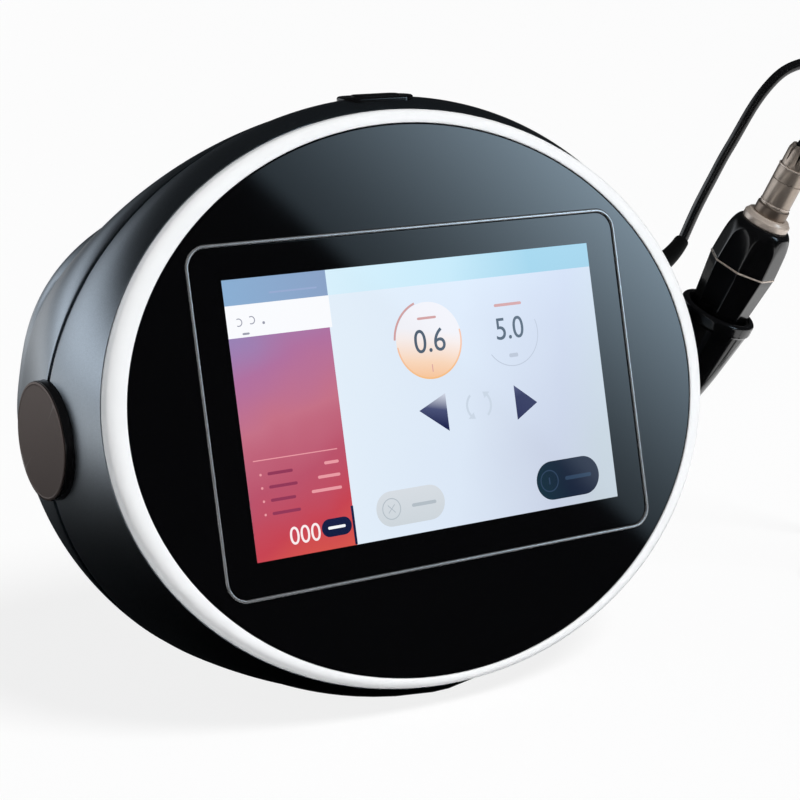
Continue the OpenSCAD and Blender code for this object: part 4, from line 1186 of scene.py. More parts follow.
@dataclass
class Studio:
    """Camera, white floor, even light, sun, the mat of painted shade and the cards that glossy surfaces mirror.

    The mirror card is a lit card in front of the machine. Its lower left edge shows in the glossy
    face as a diagonal, where u + v is card_edge.
    """

    position: Point = (-430.316, -706.917, 308.128)
    right: Point = (0.84695, -0.53168, 0.00017)
    down: Point = (-0.12250, -0.19546, -0.97303)
    forward: Point = (0.51737, 0.82409, -0.23067)
    focal_px: float = 2026.6
    sensor: float = 36.0
    sight: Flat = (0.01, 60.0)
    floor_half: float = 16.0
    floor_colour: Colour = (0.95, 0.95, 0.95)
    floor_white: float = 0.85
    dim: float = 0.02
    glow: float = 1.45
    glow_colour: Colour = (0.95, 1.0, 1.06)
    glow_fades: tuple[tuple[str, float, float], ...] = (
        ("X", 0.1, -0.6), ("Y", 0.0, 0.35), ("Z", -0.05, 0.2), ("Z", 0.65, 0.2))
    mat_way: Point = (-0.9, 0.43, 0.0)
    mat_fade: Flat = (200.0, 950.0)
    mat_white: float = 0.93
    mat_height: float = 0.6
    mat_share: float = 0.9
    right_card: tuple[Point, ...] = (
        (250, -400, 0.9), (1300, -700, 0.9), (1300, 300, 0.9), (250, 300, 0.9))
    sun_way: Point = (0.20, -0.55, 0.81)
    sun_strength: float = 3.2
    sun_width: float = 20.0
    card_edge: float = 22.0
    card_reach: float = 260.0
    card_distance: float = 1500.0
    card_oval: Flat = (142.0, 119.0)
    card_colour: Colour = (0.75, 1.0, 1.21)
    card_dim: float = 0.7
    card_gain: float = 10.3
    card_power: float = 1.6
    card_soft: float = 0.045
    card_steps: int = 32

    def make(self) -> None:
        """Build the whole studio."""
        self.camera()
        self.world()
        self.floor()
        self.dark_mat()
        self.right_light()
        self.sun()
        self.mirror_card()

    def camera(self) -> None:
        """Place the camera where the photograph was taken from."""
        data = bpy.data.cameras.new("camera")
        data.sensor_width = self.sensor
        data.lens = self.sensor * self.focal_px / IMAGE_PX
        data.clip_start, data.clip_end = self.sight
        made = placed("camera", data)
        place = Matrix.Identity(4)
        axes = (Vector(self.right), -Vector(self.down), -Vector(self.forward),
                Vector(self.position) * MM)
        for k, axis in enumerate(axes):
            place.col[k][:3] = axis
        made.matrix_world = place
        bpy.context.scene.camera = made

    def mirrored(self, u: float, v: float) -> tuple[Vector, Vector]:
        """Follow the camera's sight to the face and on.

        Args:
            u: How far right of the face's middle.
            v: How far up the face.

        Returns:
            The place on the face, and the direction that the camera sees mirrored in it.
        """
        seen = FACE.point(u, v, 0)
        way = (seen - Vector(self.position)).normalized()
        return seen, way - 2 * way.dot(FACE.normal()) * FACE.normal()

    def world(self) -> None:
        """Give dim even light and a soft glow low at the back left, where the drum mirrors it.

        The camera itself sees white.
        """
        bpy.context.scene.view_settings.view_transform = "Standard"
        world = bpy.data.worlds.new("studio")
        bpy.context.scene.world = world
        world.use_nodes = True
        tree = world.node_tree
        way = add_node(tree, "ShaderNodeTexCoord").outputs["Generated"]
        split = add_node(tree, "ShaderNodeSeparateXYZ", {0: way}).outputs
        level = self.glow
        for axis, dark, lit in self.glow_fades:
            level = maths(tree, "MULTIPLY", fade(tree, split[axis], dark, lit), level)
        light = feed(tree, tree.nodes["Background"], {
            "Color": (*self.glow_colour, 1), "Strength": maths(tree, "ADD", level, self.dim)})
        white = add_node(tree, "ShaderNodeBackground", {"Color": (1, 1, 1, 1)})
        rays = add_node(tree, "ShaderNodeLightPath").outputs
        self.mixed(tree, "World Output", rays["Is Camera Ray"], light, white)

    @staticmethod
    def mixed(tree: Tree, end: str, share: Wire, first: Node, second: Node) -> None:
        """Put out a mix of two shaders, with the given share of the second."""
        mix = add_node(tree, "ShaderNodeMixShader", {"Fac": share, 1: first.outputs[0],
                                                     2: second.outputs[0]})
        feed(tree, tree.nodes[end], {"Surface": mix.outputs[0]})

    def quad(self, name: str, corners: Sequence[Point], material: Material) -> Piece:
        """Make one flat studio piece.

        Args:
            name: The piece's name.
            corners: Its corners, in millimetres.
            material: Its material.

        Returns:
            The piece, staged.
        """
        mesh = bpy.data.meshes.new(name)
        mesh.from_pydata([Vector(c) * MM for c in corners], [], [tuple(range(len(corners)))])
        mesh.materials.append(material)
        made = placed(name, mesh)
        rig.stage(made)
        return made

    def square(self, share: float, z: float) -> list[Point]:
        """Return the corners of a square at a height, as large as a share of the floor."""
        half = share * self.floor_half / MM
        return [(-half, -half, z), (half, -half, z), (half, half, z), (-half, half, z)]

    def floor(self) -> None:
        """Lay the white floor, which stays white in metal and glass and keeps the shadow."""
        material, tree = new_material("white_floor")
        shader = feed(tree, tree.nodes["Principled BSDF"], {
            "Base Color": (*self.floor_colour, 1), "Roughness": 0.9, "Specular IOR Level": 0.1})
        rays = add_node(tree, "ShaderNodeLightPath").outputs
        seen = maths(tree, "MAXIMUM", rays["Is Camera Ray"], rays["Is Glossy Ray"])
        seen = maths(tree, "MAXIMUM", seen, rays["Is Transmission Ray"])
        self.mixed(tree, "Material Output", maths(tree, "MULTIPLY", seen, self.floor_white), shader,
                   add_node(tree, "ShaderNodeEmission"))
        self.quad("floor", self.square(1.0, 0), material)

    def dark_mat(self) -> None:
        """Lay a mat of painted shade that only metal and glass mirror: black, and white far out on the left."""
        material, tree, light = self.lit("mat_fade")
        low, high = self.mat_fade
        # painted shade: in glossy reflections the floor goes from black to white along mat_way, between the two
        # mat_fade distances
        along = dot(tree, own_place(tree), self.mat_way)
        feed(tree, light, {"Strength": fade(tree, along, low * MM, high * MM, self.mat_white)})
        self.mirrored_only(self.quad("dark_mat", self.square(self.mat_share, self.mat_height),
                                     material))

    def right_light(self) -> None:
        """Lay a lit card on the right, which lights the right edges of cable and grip."""
        self.mirrored_only(self.quad("right_card", self.right_card, self.lit("right_card")[0]))

    @staticmethod
    def lit(name: str) -> tuple[Material, Tree, Node]:
        """Make a plain glowing material.

        Args:
            name: The material's name.

        Returns:
            The material, its tree and its emission node.
        """
        material, tree = new_material(name)
        light = add_node(tree, "ShaderNodeEmission")
        feed(tree, tree.nodes["Material Output"], {"Surface": light.outputs[0]})
        return material, tree, light

    @staticmethod
    def mirrored_only(made: Piece) -> None:
        """Let only glossy surfaces see a studio piece."""
        made.visible_camera = made.visible_diffuse = made.visible_shadow = False
        made.visible_transmission = False

    def sun(self) -> None:
        """Hang the broad main lamp, high on the front right."""
        data = bpy.data.lights.new("sun", "SUN")
        data.energy = self.sun_strength
        data.angle = math.radians(self.sun_width)
        made = placed("sun", data)
        made.visible_glossy = False
        made.rotation_mode = "QUATERNION"
        made.rotation_quaternion = (-Vector(self.sun_way)).to_track_quat("-Z", "Y")

    def mirror_card(self) -> None:
        """Hang the lit card that the glossy face mirrors."""
        middle, way = self.mirrored(0, 0)
        centre = middle + way * self.card_distance
        a, b = self.card_oval
        steps, total = self.card_steps, a * a + b * b
        points, shares = [], []
        for i in range(steps + 1):
            s = self.card_edge + (math.sqrt(total) - 0.5 - self.card_edge) * i / steps
            share = (s - self.card_edge) / (self.card_reach - self.card_edge)
            half = a * b * math.sqrt(total - s * s) / total
            for u in (s * a * a / total - half, s * a * a / total + half):
                start, ray = self.mirrored(u, s - u)
                points.append(start + ray * ((centre - start).dot(way) / ray.dot(way)))
                shares.append(share)
        mesh = bpy.data.meshes.new("mirror_card")
        faces = [(2 * i, 2 * i + 1, 2 * i + 3, 2 * i + 2) for i in range(steps)]
        mesh.from_pydata([p * MM for p in points], [], faces)
        uv = mesh.uv_layers.new(name="run")
        for loop in mesh.loops:
            uv.data[loop.index].uv = (shares[loop.vertex_index], 0.5)
        material, tree, light = self.lit("card_light")
        run = add_node(tree, "ShaderNodeUVMap", uv_map="run").outputs[0]
        run = add_node(tree, "ShaderNodeSeparateXYZ", {0: run}).outputs["X"]
        strength = maths(tree, "MULTIPLY", maths(tree, "POWER", run, self.card_power),
                         self.card_gain)
        strength = maths(tree, "ADD", strength, self.card_dim)
        edge = maths(tree, "MINIMUM", maths(tree, "DIVIDE", run, self.card_soft), 1.0)
        feed(tree, light, {"Color": (*self.card_colour, 1),
                           "Strength": maths(tree, "MULTIPLY", strength, edge)})
        mesh.materials.append(material)
        made = placed("mirror_card", mesh)
        made.visible_camera = made.visible_shadow = False
        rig.stage(made)


# Housing

@dataclass
class HousingForm:
    """The law of the drum: an outline at each station from the front edge to the rear edge."""

    front_half: Flat = (140.4, 116.1)
    front_middle: Flat = (-39.8625, 121.428)
    front_lean: float = -13.7
    girth_half: Flat = (146.9, 122.4)
    girth_height: float = 114.4
    rear_half: Flat = (131.4, 88.0)
    rear_middle: Flat = (60.0, 125.0)
    rear_lean: float = 22.0
    rear_squareness: float = 2.62
    rear_edge: float = 14.0
    front_powers: Flat = (1.8, 3.2)
    rear_powers: Flat = (1.4, 1.4)
    floor: float = 2.5
    around: int = 288

    def section(self, y: float, z: float, lean_deg: float, half: Sequence[float],
                squareness: float, floor: float) -> np.ndarray:
        """Return one outline on a leaning plane, cut flat at the floor height.

        Args:
            y: Place of its middle from front to back.
            z: Height of its middle.
            lean_deg: How far the plane leans forward.
            half: Half its width and half its height.
            squareness: Its superellipse's squareness.
            floor: The floor height.

        Returns:
            Rows of points.
        """
        lean = math.radians(lean_deg)
        flat = oval(half[0], half[1], self.around, squareness)
        made = np.stack([flat[:, 0], y - flat[:, 1] * math.sin(lean),
                         z + flat[:, 1] * math.cos(lean)], axis=1)
        made[:, 2] = np.maximum(made[:, 2], floor)
        return made

    def skin(self, s: float, off: float = 0.0) -> np.ndarray:
        """Return the outline at station s, from -1 at the front to 1 at the rear.

        Args:
            s: The station.
            off: Distance inside the outer surface.

        Returns:
            Rows of points.
        """
        share = abs(s)
        if s < 0:
            half, middle, lean = self.front_half, self.front_middle, self.front_lean
            powers, squareness = self.front_powers, 2.0
        else:
            half, middle, lean = self.rear_half, self.rear_middle, self.rear_lean
            powers, squareness = self.rear_powers, 2 + (self.rear_squareness - 2) * share
        sizes = [g + (h - g) * share ** p - off for g, h, p in zip(self.girth_half, half, powers)]
        height = self.girth_height + (middle[1] - self.girth_height) * share
        return self.section(middle[0] * share, height, lean * share, sizes, squareness,
                            self.floor + off)

    def rim(self, front: bool, off: float, out: float) -> np.ndarray:
        """Return an outline parallel to the front or rear edge.

        Args:
            front: True for the front edge.
            off: Distance inside the edge.
            out: Distance along the edge's plane normal, towards the back of the machine.

        Returns:
            Rows of points.
        """
        half, middle, lean_deg, squareness = (
            (self.front_half, self.front_middle, self.front_lean, 2.0) if front else
            (self.rear_half, self.rear_middle, self.rear_lean, self.rear_squareness))
        lean = math.radians(lean_deg)
        return self.section(middle[0] + out * math.cos(lean), middle[1] + out * math.sin(lean),
                            lean_deg, [h - off for h in half], squareness,
                            self.floor + (off if front else 0))


@dataclass
class Housing:
    """The two painted shells, with their walls, the groove between them and the pad below."""

    form: HousingForm = field(default_factory=HousingForm)
    wall: float = 3.0
    seam: float = 2.8
    seam_edge: float = 0.3
    tongue: float = 5.0
    tongue_walls: Flat = (0.2, 2.2)
    flange: Flat = (12.0, 2.5)
    hub_radius: float = 23.35
    hub_reach: float = 148.6
    slot: Flat = (34.3, 13.3)
    slot_y: float = -2.5
    tray_half: Flat = (40.15, 20.0)
    gland: Point = (141.0, 46.0, 140.0)
    gland_radius: float = 13.15

    def make(self) -> None:
        """Build all pieces of the housing."""
        self.front_shell()
        self.rear_shell()
        self.pad()

    def _tools(self) -> list[Piece]:
        """Make the cutters of the two hub holes and of the button's slot.

        Returns:
            The cutters.
        """
        tools = [borer(self.hub_radius, -30, 30,
                       along_x(side * self.hub_reach, 0, self.form.girth_height))
                 for side in (-1, 1)]
        top = self.form.girth_height + self.form.girth_half[1]
        outline = rounded_rect(*self.slot, self.slot[1] / 2, (0, self.slot_y))
        rows = [at_height(outline, z) for z in (top - 20, top + 20)]
        return [*tools, loft("slot_tool", rows, GROOVE_BLACK)]

    def front_shell(self) -> None:
        """Build the front shell with its wall, its seam edge and its tongue."""
        form = self.form
        depth = -form.front_middle[0]
        lip = self.seam_edge
        edge, soft = -self.seam / 2 / depth, lip / depth
        reach = self.tongue / form.rear_middle[0]
        outside, inside = (self.wall + off for off in self.tongue_walls)
        width, height = self.flange
        rows = [form.skin(s) for s in np.linspace(-1, edge - soft, 26)]
        rows += [form.skin(edge - soft * 0.3, lip * 0.3), form.skin(edge, lip),
                 form.skin(edge, outside), form.skin(reach, outside), form.skin(reach, inside),
                 form.skin(-4 / depth, inside)]
        rows += [form.skin(s, self.wall) for s in np.linspace(-7 / depth, -0.92, 10)]
        rows += [form.rim(True, width, height), form.rim(True, width, 0)]
        half_w, half_l = self.tray_half
        z = form.floor + self.wall
        outline = rounded_rect(2 * half_w, 2 * half_l, 1)
        tray = loft("tray_tool", [at_height(outline, h) for h in (z, z + 10)], GROOVE_BLACK)
        seat(cut(band("front_housing", rows, SATIN_METAL), [*self._tools(), tray]),
             Body.ROOT, "shell_paint", "front_shell")

    def rear_shell(self) -> None:
        """Build the rear shell with its rounded rear edge and the seat of the rear panel."""
        form = self.form
        edge, soft = self.seam / 2 / form.rear_middle[0], self.seam_edge / form.rear_middle[0]
        stations = np.linspace(edge + soft, 1, 34)
        rows = [form.skin(edge, self.seam_edge), form.skin(edge + soft * 0.3, self.seam_edge * 0.3)]
        rows += [form.skin(s) for s in stations]
        r, lip = form.rear_edge, 0.5
        rows += [form.rim(False, r * (1 - math.cos(t)), r * math.sin(t))
                 for t in np.radians(np.linspace(7.5, 90, 12))]
        steps = ((r + 6 - lip, r), (r + 6 - lip * 0.3, r - lip * 0.3), (r + 6, r - lip),
                 (r + 6, r - 2.9), (r + 11, r - 2.9), (r + 11, r - 4.9),
                 (r * 0.4 + self.wall, r - 4.9), (self.wall + 0.8, r * 0.3))
        rows += [form.rim(False, off, out) for off, out in steps]
        rows += [form.skin(s, self.wall) for s in stations[::-4]]
        gland = borer(self.gland_radius, -30, 20, along_x(*self.gland))
        seat(cut(band("rear_housing", rows, SATIN_METAL), [*self._tools(), gland]),
             Body.ROOT, "shell_paint", "rear_shell")

    def pad(self) -> None:
        """Round the edges of the rubber pad under the machine."""
        seat(softened("base_pad", RUBBER, 0.4), Body.ROOT, "rubber_black", "base_pad")


@dataclass
class Bezel:
    """The white ring round the face, and the glossy oval plate inside it."""

    face_half: Flat = (132.3, 110.6)
    ring_widths: Flat = (7.4, 4.8)
    ring_rise: float = 0.9
    ring_back: float = 6.1
    seat_width: float = 2.6
    plate_top: float = -0.3
    plate_back: float = -2.8
    opening: Flat = (202.3, 136.3)
    opening_corner: float = 9.15
    panel_rise: float = 1.2
    around: int = 288

    def make(self) -> None:
        """Build the ring and the plate."""
        self.ring()
        self.plate()

    def ring(self) -> None:
        """Build the ring, whose front falls away towards its outer edge."""
        (a, b), (w, h) = self.face_half, self.ring_widths
        front = ((0.0, -0.25), (0.015, -0.05), (0.05, 0.05), (0.2, 0.13), (0.4, 0.12),
                 (0.6, -0.12), (0.75, -0.6), (0.88, -1.25), (0.96, -1.95), (0.99, -2.4),
                 (1.0, -2.9))
        rows = [(a + w * share, b + h * share, self.ring_rise * share, depth)
                for share, depth in front]
        rows += [(a + w + out, b + h + out, self.ring_rise, depth)
                 for out, depth in ((0.3, -4.4), (0.42, -5.8), (0.3, -self.ring_back))]
        rows += [(a - self.seat_width, b - self.seat_width, 0, depth)
                 for depth in (-self.ring_back, self.plate_back)]
        rows += [(a, b, 0, self.plate_back)]
        made = [array(FACE.point(x, y + rise, depth) for x, y in oval(ha, hb, self.around))
                for ha, hb, rise, depth in rows]
        seat(band("bezel_ring", made, WHITE_GLOSS, sharp_deg=40.0), Body.ROOT, "ring_white",
             "face_ring")

    def plate(self) -> None:
        """Build the oval plate with the touch panel's rounded opening."""
        hole = rounded_rect(*self.opening, self.opening_corner, (0, self.panel_rise), 16, 40)
        a, b = (half - 0.15 for half in self.face_half)
        outer = []
        for x, y in hole:
            reach = 1 / math.hypot(x / a, y / b)
            outer.append((x * reach, y * reach))
        rows = [[FACE.point(x, y, w) for x, y in outline] for outline, w in (
            (outer, self.plate_back), (outer, self.plate_top - 0.25),
            (inset(outer, 0.07), self.plate_top - 0.07), (inset(outer, 0.25), self.plate_top),
            (inset(outer, 0.6), self.plate_top), (inset(hole, -0.4), self.plate_top),
            (inset(hole, -0.1), self.plate_top), (hole, self.plate_top - 0.1),
            (hole, self.plate_back))]
        seat(band("oval_plate", [array(r) for r in rows], BLACK_GLASSY), Body.ROOT, "face_black",
             "face_plate")


# Touch panel and display

def srgb(red: int, green: int, blue: int) -> Colour:
    """Return the linear colour of a display colour given from 0 to 255."""
    return tuple((c / 255 / 12.92) if c <= 10 else ((c / 255 + 0.055) / 1.055) ** 2.4
                 for c in (red, green, blue))


def shades(name: str, *stops: tuple[float, int, int, int], start: Flat = (0.0, -55.0),
           end: Flat = (0.0, 55.0), mottle: float = 0.12) -> Glow:
    """Return a glow from display colours, each given after its share."""
    return Glow(name, tuple((share, srgb(*rgb)) for share, *rgb in stops), start, end, mottle)


@dataclass
class TouchPanel:
    """The bright trim line and the black cover glass inside it."""

    size: Flat = (202.0, 136.0)
    corner: float = 9.0
    rise: float = 1.2
    trim_width: float = 1.2
    trim_top: float = 0.3
    trim_back: float = -2.8
    trim_edge: float = 0.4
    glass_top: float = -0.6
    glass_back: float = -2.4
    gap: float = 0.15

    def _outline(self, off: float) -> list[Flat]:
        """Return the panel's outline, moved inwards."""
        return rounded_rect(self.size[0] - 2 * off, self.size[1] - 2 * off, self.corner - off,
                            (0, self.rise), 16, 4)

    def make(self) -> None:
        """Build the trim and the glass."""
        width, rounding = self.trim_width, quarter(self.trim_edge, self.trim_top, 6)
        steps = [(0.0, self.trim_back), *rounding,
                 *((width - off, w) for off, w in rounding[::-1]), (width, self.trim_back)]
        rows = [array(FACE.point(x, y, w) for x, y in self._outline(off)) for off, w in steps]
        seat(band("trim_line", rows, SILVER), Body.ROOT, "trim_silver", "panel_trim")
        seat(slab("cover_glass", self._outline(width + self.gap), self.glass_back, self.glass_top,
                  0.12, FACE.point, BLACK_GLASSY), Body.ROOT, "screen_glass", "touch_glass")


@dataclass(frozen=True)
class Mark:
    """One flat lit shape of the display. Higher levels lie on top of lower ones."""

    outline: tuple[Flat, ...]
    level: int
    glow: Glow


def box_mark(low: Flat, high: Flat, level: int, glow: Glow, corner: float = 0.0) -> Mark:
    """Return an upright rectangle.

    Args:
        low: Its lower left corner.
        high: Its upper right corner.
        level: Its level.
        glow: Its lit colour.
        corner: Radius of its corners.

    Returns:
        The shape.
    """
    middle = ((low[0] + high[0]) / 2, (low[1] + high[1]) / 2)
    size = (high[0] - low[0], high[1] - low[1])
    outline = (rounded_rect(*size, corner, middle, 10) if corner else
               [low, (high[0], low[1]), high, (low[0], high[1])])
    return Mark(tuple(outline), level, glow)


def arc_mark(middle: Flat, inner: float, outer: float, start_deg: float, end_deg: float,
             level: int, glow: Glow) -> Mark:
    """Return a stretch of a ring."""
    return Mark(tuple(arc(middle, outer, start_deg, end_deg, 32)
                      + arc(middle, inner, end_deg, start_deg, 32)), level, glow)


def ring_marks(middle: Flat, inner: float, outer: float, level: int, glow: Glow) -> list[Mark]:
    """Return a whole ring, as two halves."""
    return [arc_mark(middle, inner, outer, start, start + 180, level, glow) for start in (0, 180)]


@dataclass
class Display:
    """The lit picture behind the glass: plain controls without words."""

    low: Flat = (-86.5, -52.4)
    high: Flat = (85.8, 55.3)
    column_right: float = -42.4
    header_low: float = 45.4
    panel_high: float = 33.0
    surface: float = -0.6
    first_step: float = 0.03
    step: float = 0.02
    first_gauge: Flat = (2.2, 23.0)
    first_radius: float = 15.5
    second_gauge: Flat = (42.0, 21.7)
    second_radius: float = 13.5
    turn_icon: Flat = (22.0, -5.6)
    grey_pill: Flat = (-16.0, -41.0)
    dark_pill: Flat = (61.5, -41.0)

    def make(self) -> None:
        """Build all lit shapes, one piece for each glow, and the figures."""
        marks = [*self.background(), *self.column(), *self.gauges(), *self.arrows(),
                 *self.pills()]
        for glow in dict.fromkeys(mark.glow for mark in marks):
            self.piece(glow, [mark for mark in marks if mark.glow == glow])
        ink = self.glow("screen_ink", (96, 112, 128), (70, 86, 104))
        self.figure("0.6", (2.4, 23.0), (14.6, 9.4), ink)
        self.figure("5.0", (41.6, 24.0), (13.6, 9.0), ink)
        self.figure("000", (-64.6, -44.6), (13.4, 6.9),
                    self.glow("screen_white_figures", (250, 236, 238), (255, 244, 240)))

    @staticmethod
    def glow(name: str, low: tuple[int, int, int], high: tuple[int, int, int],
             start: Flat = (0.0, -55.0), end: Flat = (0.0, 55.0), mottle: float = 0.12) -> Glow:
        """Return a glow that runs between two display colours."""
        return Glow(name, ((0.0, srgb(*low)), (1.0, srgb(*high))), start, end, mottle)

    def background(self) -> list[Mark]:
        """Draw the pale field and the header.

        Returns:
            The shapes.
        """
        field_glow = shades("screen_field", (0.0, 226, 238, 249), (0.45, 219, 231, 246),
                            (0.8, 200, 209, 228), (1.0, 196, 208, 218), start=(-42, 10),
                            end=(86, -14), mottle=0.16)
        header = shades("screen_header", (0.0, 216, 240, 252), (0.45, 194, 228, 243),
                        (0.75, 150, 200, 222), (1.0, 142, 190, 212), start=(-42, 50),
                        end=(86, 50), mottle=0.1)
        title = self.glow("screen_title", (138, 174, 210), (138, 162, 198), (-86, 50), (-42, 50))
        line = self.glow("screen_title_line", (160, 182, 216), (150, 170, 208))
        return [box_mark(self.low, self.high, 0, field_glow),
                box_mark((self.column_right, self.header_low), self.high, 1, header),
                box_mark((self.low[0], self.header_low), (self.column_right + 1, self.high[1]), 2,
                         title),
                box_mark((-67, 48.6), (-46, 49.3), 3, line)]

    def column(self) -> list[Mark]:
        """Draw the left column: white box with an icon, and the coloured panel with its rows.

        Returns:
            The shapes.
        """
        white = self.glow("screen_white", (246, 249, 252), (250, 251, 254))
        icon = self.glow("screen_icon", (170, 172, 186), (150, 152, 168))
        panel = shades("screen_panel", (0.0, 146, 134, 186), (0.22, 176, 112, 158),
                       (0.45, 196, 112, 134), (0.62, 186, 82, 106), (0.82, 198, 66, 80),
                       (1.0, 216, 86, 72), start=(-88, 36), end=(-52, -56), mottle=0.34)
        row = self.glow("screen_row", (232, 152, 160), (236, 160, 172))
        dim = self.glow("screen_row_dim", (146, 52, 84), (140, 58, 92))
        navy = shades("screen_navy", (0.0, 8, 22, 58), (0.6, 14, 26, 66), (1.0, 30, 44, 84),
                      start=(0, -52), end=(0, -34), mottle=0.1)
        right = self.column_right
        marks = [box_mark((self.low[0], self.panel_high), (right + 1.2, self.header_low), 1, white),
                 box_mark(self.low, (right, self.panel_high), 2, panel),
                 box_mark((-83, -14.3), (-46, -13.9), 3, row)]
        for middle in ((-81.5, 38.8), (-76.0, 39.2)):
            marks.append(arc_mark(middle, 1.2, 1.6, -120, 120, 3, icon))
        marks += [box_mark((-80.4, 33.9), (-77.4, 34.7), 3, icon, 0.35),
                  box_mark((-71.4, 37.2), (-70.3, 38.3), 3, icon, 0.5)]
        for number in range(4):
            v, longer = -19.6 - 5.1 * number, 1.4 * (number % 2)
            marks += [box_mark((-81.0, v - 0.5), (-80.0, v + 0.5), 3, row, 0.5),
                      box_mark((-77.5, v - 0.6), (-66.5 + longer, v + 0.6), 3, dim, 0.6)]
            if number < 3:
                marks.append(box_mark((-52.5 - 3.5 * number, v + 0.1), (-46.0, v + 1.3), 3, row,
                                      0.6))
        marks += [box_mark((-57.2, -47.6), (-43.8, -40.6), 3, navy, 3.5),
                  box_mark((-54.4, -44.7), (-46.6, -43.6), 4, white, 0.5),
                  box_mark((right - 0.9, -52.2), (right + 0.2, -37), 3, navy)]
        return marks

    def gauges(self) -> list[Mark]:
        """Draw the two round gauges.

        Returns:
            The shapes.
        """
        warm = shades("screen_warm", (0.0, 246, 194, 150), (0.35, 248, 214, 186),
                      (0.8, 245, 236, 234), (1.0, 240, 240, 246),
                      start=(self.first_gauge[0], 7.0), end=(self.first_gauge[0] + 3, 27.0),
                      mottle=0.2)
        rim = shades("screen_warm_rim", (0.0, 246, 190, 130), (1.0, 244, 196, 172), start=(0, 7),
                     end=(0, 24), mottle=0.2)
        red = self.glow("screen_red_arc", (214, 160, 158), (206, 158, 158), (0, 10), (0, 40))
        grey = self.glow("screen_faint", (190, 198, 214), (182, 192, 208))
        (u, v), radius = self.first_gauge, self.first_radius
        disc = tuple(arc((u, v), radius, 0, 360, 72)[:-1])
        marks = [Mark(disc, 1, warm), arc_mark((u, v), radius - 0.7, radius, 185, 372, 2, rim),
                 arc_mark((u, v), radius + 0.2, radius + 1.1, 108, 174, 2, red),
                 box_mark((u - 0.2, v - 12.6), (u + 0.2, v - 9.6), 2, red),
                 box_mark((u - 4.5, v + 8.6), (u + 4.5, v + 9.6), 2, red, 0.5)]
        (u, v), radius = self.second_gauge, self.second_radius
        marks += [arc_mark((u, v), radius - 0.35, radius, 215, 380, 1, grey),
                  box_mark((u - 2.2, v - 9.8), (u + 2.2, v - 8.2), 1, grey, 0.6),
                  box_mark((u - 6.8, v + 11.4), (u + 6.8, v + 12.6), 1, red, 0.6)]
        return marks

    def arrows(self) -> list[Mark]:
        """Draw the two arrow heads and the turning icon between them.

        Returns:
            The shapes.
        """
        left = shades("screen_arrow_left", (0.0, 26, 34, 78), (0.5, 72, 80, 118),
                      (1.0, 206, 212, 226), start=(0, -11), end=(3, 1.5), mottle=0.1)
        right = shades("screen_arrow_right", (0.0, 34, 38, 84), (0.5, 84, 88, 130),
                       (1.0, 200, 204, 222), start=(0, -13), end=(-3, 1.5), mottle=0.1)
        faint = self.glow("screen_faint_blue", (206, 218, 232), (198, 210, 224))
        u, v = self.turn_icon
        marks = [Mark(((6.5, 1.2), (-6.6, -4.4), (6.5, -14.1)), 1, left),
                 Mark(((40.0, 0.4), (40.0, -13.9), (50.7, -7.9)), 1, right)]
        for turn in (0, 180):
            marks.append(arc_mark((u, v), 5.3, 6.3, turn - 50, turn + 40, 1, faint))
            tip, root = math.radians(turn + 66), math.radians(turn + 40)
            marks.append(Mark(((u + 7.6 * math.cos(root), v + 7.6 * math.sin(root)),
                               (u + 5.8 * math.cos(tip), v + 5.8 * math.sin(tip)),
                               (u + 4.0 * math.cos(root), v + 4.0 * math.sin(root))), 1, faint))
        return marks

    def pills(self) -> list[Mark]:
        """Draw the two round-ended buttons at the bottom.

        Returns:
            The shapes.
        """
        grey = self.glow("screen_grey_pill", (205, 213, 219), (214, 220, 226), (0, -48), (0, -34))
        line = self.glow("screen_grey_line", (178, 188, 196), (184, 194, 202))
        dark = shades("screen_dark_pill", (0.0, 20, 48, 62), (0.5, 20, 34, 56), (1.0, 32, 40, 62),
                      start=(46, -44), end=(76, -38), mottle=0.2)
        dim = self.glow("screen_dark_line", (44, 66, 92), (52, 70, 96))
        u, v = self.grey_pill
        marks = [box_mark((u - 16, v - 7), (u + 16, v + 7), 1, grey, 7),
                 *ring_marks((u - 9, v), 3.9, 4.3, 2, line)]
        for slope in (1, -1):
            marks.append(Mark(tuple((u - 9 + 1.6 * a, v + slope * 1.6 * a + b)
                                    for a, b in ((-1, -0.25), (1, -0.25), (1, 0.25), (-1, 0.25))),
                              2 if slope > 0 else 3, line))
        marks.append(box_mark((u + 0.5, v - 0.7), (u + 12, v + 0.7), 2, line, 0.7))
        u, v = self.dark_pill
        return [*marks, box_mark((u - 16, v - 8), (u + 16, v + 8), 1, dark, 8),
                *ring_marks((u - 9.5, v), 4.1, 4.6, 2, dim),
                box_mark((u - 9.8, v - 1.5), (u - 9.2, v + 1.5), 2, dim, 0.3),
                box_mark((u - 1.5, v - 0.8), (u + 12, v + 0.8), 2, dim, 0.8)]

    def top(self, level: int) -> float:
        """Return the height of a level above the face's rim plane."""
        return self.surface + self.first_step + self.step * level

    def piece(self, glow: Glow, marks: Sequence[Mark]) -> None:
        """Build one piece from all marks of a glow.

        Args:
            glow: The glow.
            marks: The marks.
        """
        points: list[Vector] = []
        faces: list[Sequence[int]] = []
        for mark in marks:
            count, first = len(mark.outline), len(points)
            for w in (self.surface - 0.1, self.top(mark.level)):
                points += [FACE.point(u, v, w) for u, v in mark.outline]
            faces += [[first + i for i in range(count)][::-1],
                      [first + count + i for i in range(count)]]
            faces += [(first + i, first + (i + 1) % count, first + count + (i + 1) % count,
                       first + count + i) for i in range(count)]
        made = build(glow.name, array(points), faces, glow)
        with edited(made.data) as work:
            bmesh.ops.recalc_face_normals(work, faces=work.faces)
        seat(made, Body.ROOT, "display")

